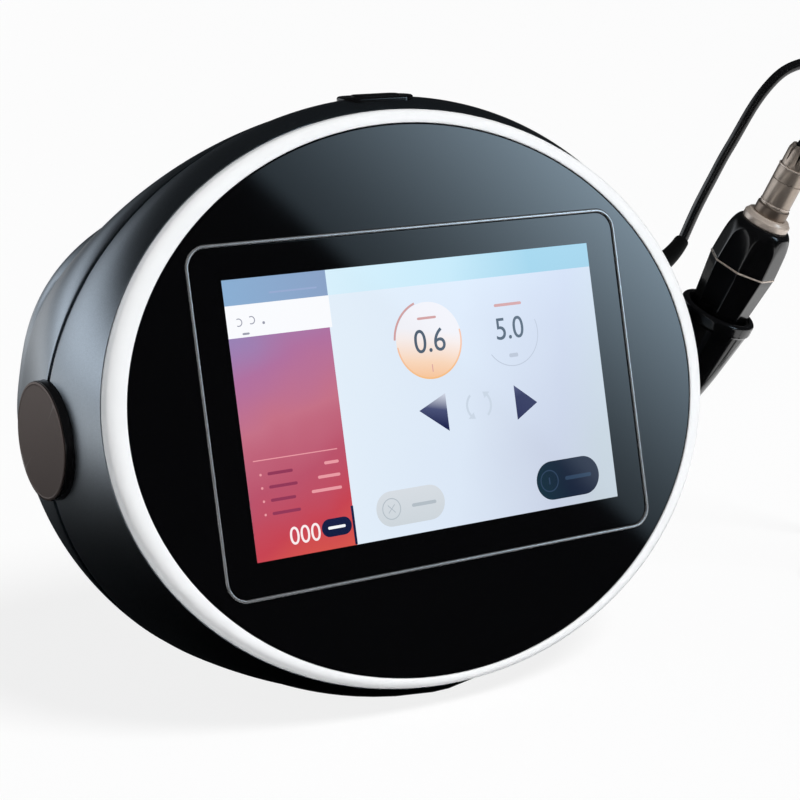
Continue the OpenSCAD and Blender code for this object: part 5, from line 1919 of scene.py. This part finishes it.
    def figure(self, words: str, middle: Flat, size: Flat, glow: Glow) -> None:
        """Build a plain number.

        Args:
            words: The digits.
            middle: Its middle on the face.
            size: Its width and height.
            glow: Its lit colour.
        """
        curve = bpy.data.curves.new("figure", "FONT")
        curve.body = words
        curve.extrude = 0.01
        letters = placed("figure", curve)
        bpy.context.view_layer.update()
        shown = bpy.context.evaluated_depsgraph_get()
        mesh = bpy.data.meshes.new_from_object(letters.evaluated_get(shown), depsgraph=shown)
        bpy.data.objects.remove(letters)
        at = array(vertex.co for vertex in mesh.vertices)
        low, high = at.min(axis=0), at.max(axis=0)
        flat = (at - (low + high) / 2) / np.maximum(high - low, 1e-9)
        top = self.top(5)
        for vertex, (x, y, z) in zip(mesh.vertices, flat):
            vertex.co = FACE.point(middle[0] + x * size[0], middle[1] + y * size[1],
                                   top + (z - 0.5) * 0.12) * MM
        with edited(mesh) as work:
            bmesh.ops.remove_doubles(work, verts=work.verts, dist=1e-7)
            bmesh.ops.recalc_face_normals(work, faces=work.faces)
        dress(mesh, glow)
        seat(placed("figures_" + words.replace(".", "_"), mesh), Body.ROOT, "display")


# Small parts of the housing

@dataclass
class PowerButton:
    """The raised oblong frame on top, and the button in it."""

    middle_y: float = -2.5
    top: float = 236.8
    frame_size: Flat = (34.0, 13.0)
    frame_proud: float = 2.2
    frame_low: float = -11.0
    opening: Flat = (22.6, 7.6)
    button_size: Flat = (22.0, 7.0)
    button_proud: float = 2.9
    button_low: float = -3.9
    edge: float = 1.0

    def make(self) -> None:
        """Build the frame and the button."""
        high, low = self.top + self.frame_proud, self.top + self.frame_low
        middle = (0, self.middle_y)
        outer = rounded_rect(*self.frame_size, self.frame_size[1] / 2, middle, 20)
        rows = [at_height(inset(outer, off), z)
                for off, z in ((0.0, low), *quarter(self.edge, high, 6))]
        inner = rounded_rect(*self.opening, self.opening[1] / 2, middle, 20)
        rows += [at_height(inset(inner, off), z)
                 for off, z in ((-0.3, high), (-0.1, high - 0.1), (0, high - 0.3), (0, low + 2))]
        closing = inset(inner, self.opening[1] / 2 - 0.3)
        rows += [at_height(closing, z) for z in (low + 2, low)]
        seat(band("button_frame", rows, GLOSS_BLACK), Body.ROOT, "gloss_black", "button_bezel")
        outline = rounded_rect(*self.button_size, self.button_size[1] / 2, middle, 16)
        cap = slab("button_cap", outline, self.top + self.button_low,
                   self.top + self.button_proud - 0.15, 0.6, plain, MOULDED_BLACK, crown=0.12)
        seat(cap, Body.POWER_BUTTON, "satin_black", "power_button")


@dataclass
class Hubs:
    """The round hubs on both sides: a black ring, and on the left a bronze cap."""

    radius: float = 23.2
    reach: float = 148.6
    length: float = 13.5
    cap: float = 0.8
    height: float = 114.4

    def make(self) -> None:
        """Build both rings and the cap."""
        r, low, high = self.radius, -self.length, -self.cap
        profile = fillet([(r - 6, low, 0), (r + 3, low, 0.3), (r + 3, low + 2.5, 0.3),
                          (r, low + 2.5, 0.2), (r, high, 0.5), (0, high, 0)], 4)
        profile = [(0, high - 4), (r - 6, high - 4)] + profile
        for side, name in ((-1, "left_hub_ring"), (1, "right_hub_ring")):
            seat(lathe(name + "_turned", profile, along_x(side * self.reach, 0, self.height, side),
                       GLOSS_BLACK, 128), Body.ROOT, "gloss_black", name)
        cap = fillet([(0, -self.cap, 0), (r - 0.2, -self.cap, 0.1), (r - 0.2, -0.15, 0.35),
                      (r - 1.2, 0, 0.4), (r - 1.5, -0.12, 0.2), (0, -0.06, 0)], 5)
        seat(lathe("bronze_cap", cap, along_x(-self.reach, 0, self.height, -1), BRONZE, 160),
             Body.ROOT, "bronze", "left_hub_cap")


# Holder

@dataclass
class Holder:
    """The arm on the right hub, and the tapered cup that carries the handpiece."""

    hub_radius: float = 23.2
    hub_face: float = 147.8
    hub_reach: float = 148.6
    height: float = 114.4
    neck_radius: float = 12.0
    arm_radius: float = 8.5
    rim: float = 22.0
    drop: float = 25.0
    rim_radius: float = 18.0
    bottom_radius: float = 10.6
    wall: float = 2.2

    def make(self) -> None:
        """Build the arm and the cup."""
        self.arm()
        self.cup()

    @property
    def belly(self) -> float:
        """Radius of the cup where its taper changes."""
        return self.bottom_radius + (self.rim_radius - self.bottom_radius) * 0.35

    def _outside(self) -> list[Point]:
        """Give the cup's outer profile, from its bottom to its rim.

        Returns:
            (radius, height, rounding) of each corner.
        """
        r, end, top, low = self.rim_radius, self.bottom_radius, self.rim, -self.drop
        return [(0, low, 0), (end - 2, low, 1.4), (end, low + 1.6, 1.4), (self.belly, low + 14, 6),
                (r - 0.9, top - 6.5, 0.3), (r - 0.15, top - 5.7, 0.35), (r, top - 5.0, 0.4),
                (r, top - 1.0, 0.8), (r - 1, top, 0.5)]

    def arm(self) -> None:
        """Build the arm, hollowed where the cup sits."""
        x0 = self.hub_face
        reach, step = HOLDER.middle[0] - x0, self.hub_reach - x0
        disc, neck, end = self.hub_radius - 0.2, self.neck_radius, self.arm_radius
        profile = fillet([(0, 0, 0), (disc, 0, 0), (disc, step, 0.3), (neck, step, 0.6),
                          (neck - 0.6, step + 3, 1.6), (end, step + 3, 2.2), (end, reach, 0),
                          (0, reach, 0)], 6)
        body = lathe("side_arm", profile, along_x(x0, 0, self.height), MOULDED_BLACK, 128)
        cup = lathe("cup_tool", fillet(self._outside() + [(0, self.rim, 0)], 3), HOLDER.matrix(),
                    GROOVE_BLACK)
        seat(cut(body, [cup]), Body.ROOT, "satin_black", "holder_arm")

    def cup(self) -> None:
        """Build the cup with its wall and the ridge below its rim."""
        r, low, wall = self.rim_radius, -self.drop, self.wall
        inside = [(r - wall - 0.5, self.rim, 0.3), (r - wall - 0.5, self.rim - 5, 1),
                  (self.belly - wall, low + 14, 4), (self.bottom_radius - wall, low + wall, 1),
                  (0, low + wall, 0)]
        profile = fillet(self._outside() + inside, 5)
        seat(lathe("cup", profile, HOLDER.matrix(), GLOSS_BLACK, 144), Body.ROOT, "gloss_black",
             "holder_cup")


# Handpiece

@dataclass
class Handpiece:
    """The corded handpiece: eight-sided grip and shoulder, neck, sleeve, nut and boot."""

    grip_low: float = -2.0
    grip_low_radius: float = 10.8
    grip_radius: float = 16.0
    grip_bore: float = 7.5
    accent: float = 45.5
    accent_length: float = 0.8
    shoulder_length: float = 21.5
    neck_radius: float = 11.0
    neck_length: float = 4.5
    sleeve_radius: float = 7.0
    sleeve_length: float = 24.5
    collet_length: float = 10.0
    boot_length: float = 16.0
    corner: float = 0.006
    dome_power: float = 60.0
    finger_count: int = 8
    finger_slot: float = 0.7
    trigger_turn: float = 67.5
    trigger_height: float = 32.0
    trigger_radius: float = 4.0
    around: int = 192

    @property
    def neck(self) -> float:
        """Height of the neck ring."""
        return self.accent + self.shoulder_length

    @property
    def sleeve(self) -> float:
        """Height of the sleeve's lower end."""
        return self.neck + self.neck_length

    @property
    def collet(self) -> float:
        """Height of the nut's lower end."""
        return self.sleeve + self.sleeve_length

    @property
    def trigger_face(self) -> float:
        """Distance of the trigger's outer face from the axis.

        Returns:
            The distance, which follows the grip's taper.
        """
        share = (self.trigger_height - self.grip_low) / (self.accent - self.grip_low)
        radius = self.grip_low_radius + (self.grip_radius - self.grip_low_radius) * share
        return radius * math.cos(math.radians(22.5)) + 1.4

    def make(self) -> None:
        """Build all pieces of the handpiece but the boot, which main builds before the cable."""
        self.grip()
        self.shoulder()
        self.neck_pieces()
        self.nut()
        self.trigger()
        self.cartridge()

    def octagon(self, radius: float, z: float, limit: float = 1e9) -> np.ndarray:
        """Return an eight-sided outline with slightly rounded corners, inside a round limit.

        Args:
            radius: Its radius over the corners.
            z: Its height.
            limit: Radius of the round form that cuts it.

        Returns:
            Rows of model points.
        """
        flat = radius * math.cos(math.radians(22.5))
        turns = np.linspace(0, 2 * math.pi, self.around, endpoint=False)
        planes = np.radians(22.5 + 45 * np.arange(8))
        facing = np.maximum(np.cos(turns[:, None] - planes[None, :]), 0)
        power = 1 / self.corner
        reach = flat / (facing ** power).sum(axis=1) ** (1 / power)
        power = self.dome_power
        reach = (reach ** -power + limit ** -power) ** (-1 / power)
        return array(HOLDER.put(r * math.cos(t), r * math.sin(t), z) for r, t in zip(reach, turns))

    def trigger_frame(self) -> Matrix:
        """Return the frame whose local Z points out through the trigger."""
        return (HOLDER.matrix() @ Matrix.Rotation(math.radians(self.trigger_turn), 4, "Z")
                @ Matrix.Translation((0, 0, self.trigger_height))
                @ Matrix.Rotation(math.radians(90), 4, "Y"))

    def grip(self) -> None:
        """Build the grip with its bore and the trigger's opening."""
        low, high, edge = self.grip_low, self.accent - self.accent_length, 0.5
        between = np.linspace(low + 3, high - 3, 12)
        rows = []
        for z in (low, low + 0.12, low + edge, *between, high - 0.3, high):
            share = (z - low) / (high - low)
            radius = self.grip_low_radius + (self.grip_radius - 0.1 - self.grip_low_radius) * share
            radius -= max(edge - (z - low), 0) * 0.9
            rows.append(self.octagon(radius - (0.12 if z == high else 0), z))
        bore = borer(self.grip_bore, low - 2, self.accent - 5, HOLDER.matrix())
        trigger = borer(self.trigger_radius + 0.3, self.grip_bore - 2, 22, self.trigger_frame(), 64)
        seat(cut(loft("grip_body", rows, GLOSS_BLACK), [bore, trigger]), Body.HANDPIECE,
             "gloss_black", "grip")
        rows = [self.octagon(self.grip_radius + out, z)
                for out, z in ((-0.05, high), (0.15, high + 0.12), (0.15, self.accent - 0.12),
                               (-0.05, self.accent))]
        seat(loft("accent_band", rows, PALE_CHAMPAGNE), Body.HANDPIECE, "pale_champagne",
             "accent_line")

    def shoulder(self) -> None:
        """Build the shoulder: eight flats that run out under a dome."""
        rows = []
        for t in np.radians(np.concatenate([[0, 0.6], np.linspace(3, 90, 40)])):
            height = self.shoulder_length * math.sin(t)
            dome = self.neck_radius + 0.2 + (self.grip_radius - self.neck_radius) * math.cos(t)
            radius = self.grip_radius - 1.2 * math.sin(t) - (0.15 if t == 0 else 0)
            rows.append(self.octagon(radius, self.accent + height, dome))
        seat(loft("shoulder_body", rows, GLOSS_BLACK, sharp_deg=50.0), Body.HANDPIECE,
             "gloss_black", "shoulder")

    def neck_pieces(self) -> None:
        """Build the neck ring, the sleeve and its two bright bands."""
        r, length, z = self.neck_radius, self.neck_length, self.neck
        ring = fillet([(0, z, 0), (r - 0.4, z, 0.2), (r, z + 0.4, 0.3), (r, z + length - 1.6, 0.5),
                       (r - 0.5, z + length - 1.2, 0.3), (r - 1.3, z + length, 0.3),
                       (0, z + length, 0)], 4)
        seat(lathe("neck_collar", ring, HOLDER.matrix(), PALE_CHAMPAGNE, 128), Body.HANDPIECE,
             "pale_champagne", "neck_ring")
        r, length, z = self.sleeve_radius, self.sleeve_length, self.sleeve
        groove = z + length * 0.7
        sleeve = fillet([(0, z, 0), (r + 0.7, z, 0.2), (r + 0.7, z + 4.6, 0.4), (r, z + 4.9, 0.2),
                         (r, z + 5.5, 0.1), (r - 0.5, z + 5.5, 0), (r - 0.5, z + 6.3, 0),
                         (r, z + 6.3, 0.1), (r, groove, 0.12), (r - 0.35, groove + 0.05, 0),
                         (r - 0.35, groove + 0.35, 0), (r, groove + 0.4, 0.12),
                         (r, z + length - 0.9, 0.1), (r - 0.5, z + length - 0.9, 0),
                         (r - 0.5, z + length, 0), (0, z + length, 0)], 3)
        made = lathe("sleeve_body", sleeve, HOLDER.matrix(), CHAMPAGNE, 128)
        made.data.materials.append(DEEP_CHAMPAGNE.material())
        axis = HOLDER.matrix().inverted()
        for face in made.data.polygons:
            if (axis @ (face.center / MM)).z < z + 4.75:
                face.material_index = 1
        seat(made, Body.HANDPIECE, "champagne", "neck_sleeve")
        bands = [lathe("band", fillet([(r - 0.48, low, 0), (r + 0.2, low, 0.15),
                                       (r + 0.2, low + 0.7, 0.15), (r - 0.48, low + 0.7, 0)], 3),
                       HOLDER.matrix(), PALE_CHAMPAGNE, 96, ring=True)
                 for low in (z + 5.55, z + length - 0.85)]
        seat(merged("bright_bands", bands), Body.HANDPIECE, "pale_champagne", "sleeve_bands")

    def nut(self) -> None:
        """Build the nut, whose fingers are one finger repeated round the axis."""
        r, length, z, slot = self.sleeve_radius, self.collet_length, self.collet, self.finger_slot
        inner, closed, half = 4.6, 2.4, math.pi / self.finger_count
        corners = ((r - 0.6, 0.0), (r - 0.4, 0.6), (r - 0.4, length - 2.5), (r - 1.1, length - 0.4),
                   (r - 1.3, length), (inner, length), (inner, 0.0))
        rows = []
        for share in np.linspace(-1, 1, 9):
            row = [self.turned(radius, height, half + share * (
                half - (math.asin(slot / radius) if height > closed else 0)))
                   for radius, height in corners]
            row.insert(1, self.turned(r - 0.4, closed, half + share * half))
            rows.append(array(row))
        finger = loft("nut_fingers", rows, CHAMPAGNE)
        grow(finger, PolarRepeat.tree(), {"Count": self.finger_count}, CHAMPAGNE)
        with edited(finger.data) as work:
            bmesh.ops.remove_doubles(work, verts=work.verts, dist=0.00001)
        finger.data.transform(Matrix.Scale(MM, 4) @ HOLDER.matrix()
                              @ Matrix.Translation((0, 0, z)) @ Matrix.Scale(1 / MM, 4))
        seat(finger, Body.HANDPIECE, "champagne", "collet_nut")

    @staticmethod
    def turned(radius: float, height: float, turn: float) -> Point:
        """Return a point of the nut at a turn round its axis."""
        return (radius * math.cos(turn), radius * math.sin(turn), height)

    def boot(self) -> None:
        """Build the cable's boot above the nut, with its ribs."""
        z, tip = self.collet, self.collet + self.boot_length
        profile = fillet([(0, z, 0), (4.4, z, 0), (4.2, z + 10, 0.5), (3.9, z + 11, 0.5),
                          (3.1, tip, 0.4), (0, tip, 0)], 4)
        body = lathe("boot_body", profile, HOLDER.matrix(), RUBBER, 64)
        path = array(HOLDER.put(0, 0, h) for h in (z + 11.3, z + 15.2))
        ribs = grow(path_object("boot_ribs", path), PathRepeat.tree(),
                    {"Count": 4, "First Radius": 3.6 * MM, "Last Radius": 3.05 * MM,
                     "Rib Radius": 0.38 * MM}, RUBBER)
        seat(merged("handpiece_relief", [body, ribs]), Body.HANDPIECE, "rubber_black",
             "handpiece_boot")

    def trigger(self) -> None:
        """Build the round trigger button with its dished face."""
        r, face, back = self.trigger_radius, self.trigger_face, self.grip_bore + 0.3
        profile = fillet([(0, back, 0), (r, back, 0.2), (r, face - 0.4, 0.3), (r - 0.5, face, 0.3),
                          (r * 0.6, face - 0.1, 0.8), (0, face - 0.45, 0)], 4)
        seat(lathe("trigger_cap", profile, self.trigger_frame(), CHAMPAGNE, 64), Body.TRIGGER,
             "champagne", "trigger_button")

    def cartridge(self) -> None:
        """Round the edges of the transducer cartridge."""
        seat(softened("cartridge_body", WHITE_PLASTIC, 0.3), Body.CARTRIDGE, "cartridge_white",
             "cartridge_body")


# Cable

@dataclass
class Cable:
    """The handpiece's cable: plug, boot, run to the coil, coil, strap and run to the handpiece."""

    diameter: float = 5.0
    plug_radius: float = 8.5
    plug_start: float = 141.0
    plug_end: float = 163.0
    plug_at: Flat = (46.0, 140.0)
    boot_route: tuple[Point, ...] = (
        (163, 46, 140), (168, 46, 140), (173, 46, 140.5), (178, 46, 141.5),
        (183, 46, 143), (188, 45.5, 145), (192.5, 45.5, 147.5), (196.5, 45, 150.5),
        (200, 44.5, 154), (203, 44, 158))
    machine_route: tuple[Point, ...] = (
        (203, 44, 158), (206, 42, 167), (208, 39.5, 174.5), (210.5, 37, 182),
        (213.5, 34.5, 190), (216.5, 32.5, 197.5), (219.5, 30, 204.5), (222.5, 27.5, 212),
        (226, 25.5, 219.5), (229.5, 23, 226.5), (234, 20.5, 233), (240, 18.5, 238.5),
        (247.5, 16, 241.5), (256, 14.5, 242.5), (264.5, 13.5, 241), (272.5, 13, 237),
        (279, 12.5, 231), (284, 12, 223.5), (288, 12, 214), (290.5, 12, 203),
        *((291, 12, z) for z in range(189, 53, -15)),
        (291, 11.5, 41), (291, 9, 29), (291, 3.5, 18.5), (291, -4.5, 10.5), (291, -14, 5.5),
        (291, -24, 3.8), (291, -33, 3.8), (291, -43, 3.8))
    tail_route: tuple[Point, ...] = (
        (291, -53.3, 9.3), (291, -59, 9.3), (291, -68, 10), (291, -77, 13),
        (291, -85, 18.5), (291, -91.5, 27), (291, -95.5, 37), (291, -97.5, 49),
        (291, -98.5, 61), *((291, -99, z) for z in range(75, 160, 14)),
        (290.5, -99, 173), (289, -98.5, 187), (287, -98, 200), (284, -97, 212.5),
        (279.5, -95.5, 224), (273, -93, 234.5), (265, -90, 243), (255.5, -86, 249.5),
        (245, -81, 253.5), (234, -74.5, 254), (224, -67.5, 250.5), (216, -60.5, 245),
        (210, -54, 237.5), (205.8, -48.3, 229), (203.5, -44.2, 220.6), (202.1, -42, 215.2))
    tail_bend: tuple[Point, Point] = ((291, -80, 12), (202.1, -42, 215.2))
    coil_middle: Flat = (258.0, -48.0)
    coil_radius: float = 33.0
    coil_pitch: float = 5.5
    coil_turns: int = 4
    knurl_ridges: int = 24
    boot_ribs: int = 7
    coil_low: float = 3.8
    boot_radii: Flat = (6.9, 3.5)
    boot_rounding: Point = (0.05, 0.3, 0.85)

    def make(self) -> None:
        plug, relief, tie = self.plug(), self.relief(), self.tie()
        socket = seat(softened("handpiece_socket", MOULDED_BLACK, 0.4), Body.ROOT, "satin_black",
                      "handpiece_socket")
        machine = self.stretch("cable_run_machine", self.machine_route)
        seat(machine[0], Body.ROOT, "cable_jacket", "cable_machine_run")
        coil = self.coil()
        tail = self.stretch("cable_run_handpiece", self.tail_route)
        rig.blend(tail[0], Body.ROOT.value, Body.HANDPIECE.value,
                 *(Vector(p) * MM for p in self.tail_bend))
        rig.slot(tail[0], "cable_jacket")
        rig.replaces(tail[0], "cable_handpiece_run")
        log.info("%s bends, %d faces", tail[0].name, len(tail[0].data.polygons))
        self.declare(machine, "loose", [relief, plug, socket])
        self.declare(coil, "coiled", [tie])
        self.declare(tail, "loose", ["handpiece_relief"])

    def declare(self, cord: tuple[Piece, np.ndarray], lay: str, goes_with: list) -> None:
        """Say that a stretch is a cord, how it lies, how long it is and which pieces go with it."""
        made, path = cord
        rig.cord(made, exit=(path[0] * MM).tolist(), length=path_length(path) * MM,
                diameter=self.diameter * MM, far_end="object", stiffness="stiff", lay=lay,
                path=(path * MM).tolist(), with_pieces=goes_with)

    def plug(self) -> Piece:
        """Build the plug, whose knurl is one ridge repeated round it.

        Returns:
            The plug.
        """
        r, end = self.plug_radius, self.plug_end - self.plug_start
        profile = fillet([(0, -11.0, 0), (r - 2.5, -11.0, 0.4), (r - 2.5, 0.0, 0.1),
                          (r, 0.0, 0.5), (r, 2.2, 0.3), (r - 0.25, 2.6, 0.2),
                          (r - 0.25, end - 4.4, 0.2), (r, end - 4, 0.3), (r, end - 2, 0.5),
                          (r - 1.2, end, 0.6), (0, end, 0)], 4)
        place = along_x(self.plug_start, *self.plug_at)
        body = lathe("plug_turned", profile, place, MOULDED_BLACK)
        foot, w = r - 0.5, 0.7
        rows = [array(((foot, -w, z), (r + h, -w * 0.5, z), (r + h, w * 0.5, z), (foot, w, z)))
                for h, z in ((-0.2, 3.2), (0.5, 4.2), (0.5, end - 6.2), (-0.2, end - 5.2))]
        ridges = grow(loft("ridge", rows, MOULDED_BLACK), PolarRepeat.tree(),
                      {"Count": self.knurl_ridges}, MOULDED_BLACK)
        ridges.data.transform(Matrix.Scale(MM, 4) @ place @ Matrix.Scale(1 / MM, 4))
        return seat(merged("cable_plug_body", [body, ridges]), Body.ROOT, "satin_black",
                    "cable_plug")

    def relief(self) -> Piece:
        """Build the tapered boot behind the plug, with its ribs.

        Returns:
            The boot.
        """
        path = smooth_path(self.boot_route, 8)
        share = np.linspace(0, 1, len(path))
        first, last = self.boot_radii
        radii = first + (last - first) * share
        radii[-3:] -= self.boot_rounding
        body = swept("relief_body", path, radii, RUBBER, 40, (0, 1, 0))
        low, high = 6, len(path) // 2
        ribs = grow(path_object("relief_ribs", path[low:high]), PathRepeat.tree(),
                    {"Count": self.boot_ribs, "First Radius": radii[low] * MM,
                     "Last Radius": radii[high] * MM, "Rib Radius": 0.6 * MM}, RUBBER)
        return seat(merged("strain_relief", [body, ribs]), Body.ROOT, "rubber_black", "cable_boot")

    def stretch(self, name: str, route: Sequence[Point]) -> tuple[Piece, np.ndarray]:
        """Return a free stretch of the cable along a route, and its centre line."""
        path = smooth_path(route, 5)
        return swept(name, path, [self.diameter / 2] * len(path), JACKET, 24, (1, 0.2, 0)), path

    def coil(self) -> tuple[Piece, np.ndarray]:
        """Build the coil: in on the lower layer, and out on the upper one.

        Returns:
            The coil and its centre line.
        """
        per_turn = 60
        (x, y), d, low = self.coil_middle, self.diameter, self.coil_low
        made = [(x + self.coil_radius, y + d, low)]
        for k in range(per_turn * self.coil_turns + 1):
            t = k / per_turn
            r = self.coil_radius - self.coil_pitch * min(t, self.coil_turns - t)
            climb = min(max((t - self.coil_turns / 2) * 2 + 0.5, 0), 1)
            turn = -2 * math.pi * t
            made.append((x + r * math.cos(turn), y + r * math.sin(turn),
                         low + self.coil_pitch * climb * climb * (3 - 2 * climb)))
        made.append((made[-1][0], made[-1][1] - d, made[-1][2]))
        path = np.array(made)
        piece = swept("cable_coiled", path, [d / 2] * len(path), JACKET, 20)
        return seat(piece, Body.ROOT, "cable_jacket", "cable_coil"), path

    def tie(self) -> Piece:
        """Round the edges of the strap round the coil."""
        return seat(softened("coil_tie", RUBBER, 0.25), Body.ROOT, "rubber_black", "coil_tie")


# Rear, and the nodes that keep their own mesh

@dataclass
class Carried:
    """The CAD nodes whose own mesh shows: their finishes, and those with softened edges."""

    soft: dict[str, tuple[Body, str, Finish, float]] = field(default_factory=lambda: {
        "power_inlet": (Body.ROOT, "satin_black", MOULDED_BLACK, 0.3),
        "footswitch_socket": (Body.ROOT, "satin_black", DARK_STEEL, 0.3),
    })
    kept: dict[str, Finish] = field(default_factory=lambda: {
        "lcd_module": GLOSS_BLACK, "lcd_bracket": ZINC, "rear_panel": MOULDED_BLACK,
        "button_switch": MOULDED_BLACK, "holder_liner": RUBBER, "chassis_plate": ZINC,
        "board_standoffs": BRASS, "main_board": BOARD, "speaker": MOULDED_BLACK,
        "driver_board": BOARD, "heat_sink": SILVER, "power_supply": ZINC, "board_screws": NICKEL,
        "shell_screws": DARK_STEEL, "panel_screws": DARK_STEEL, "fan_frame": MOULDED_BLACK,
        "fan_rotor": MOULDED_BLACK, "fan_grille": DARK_STEEL, "inlet_pins": NICKEL,
        "fuse_drawer": MOULDED_BLACK, "rocker_switch": GLOSS_BLACK, "drive_motor": ZINC,
        "piezo_bowl": CERAMIC, "cartridge_membrane": FILM,
    })

    def make(self) -> None:
        """Finish all these nodes."""
        for node, finish in self.kept.items():
            dress(frame["nodes"][node].data, finish)
        for node, (body, slot, finish, width) in self.soft.items():
            seat(softened(node, finish, width), body, slot, node)
        log.info("%d nodes finished as they are", len(self.kept))


def main() -> None:
    """Build the studio and every piece, then write the two sizes."""
    Studio().make()
    Handpiece().boot()
    Cable().make()
    for part in (Housing(), Bezel(), TouchPanel(), Display(), PowerButton(), Hubs(), Holder(),
                 Handpiece(), Carried()):
        part.make()
    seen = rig.bounds()
    with open(SIZE_FILE, "w") as out:
        json.dump({"cad": [list(c) for c in cad_box], "visual": [list(c) for c in seen]}, out)


if __name__ == "__main__":
    logging.basicConfig(level=logging.INFO, format="%(message)s")
    main()
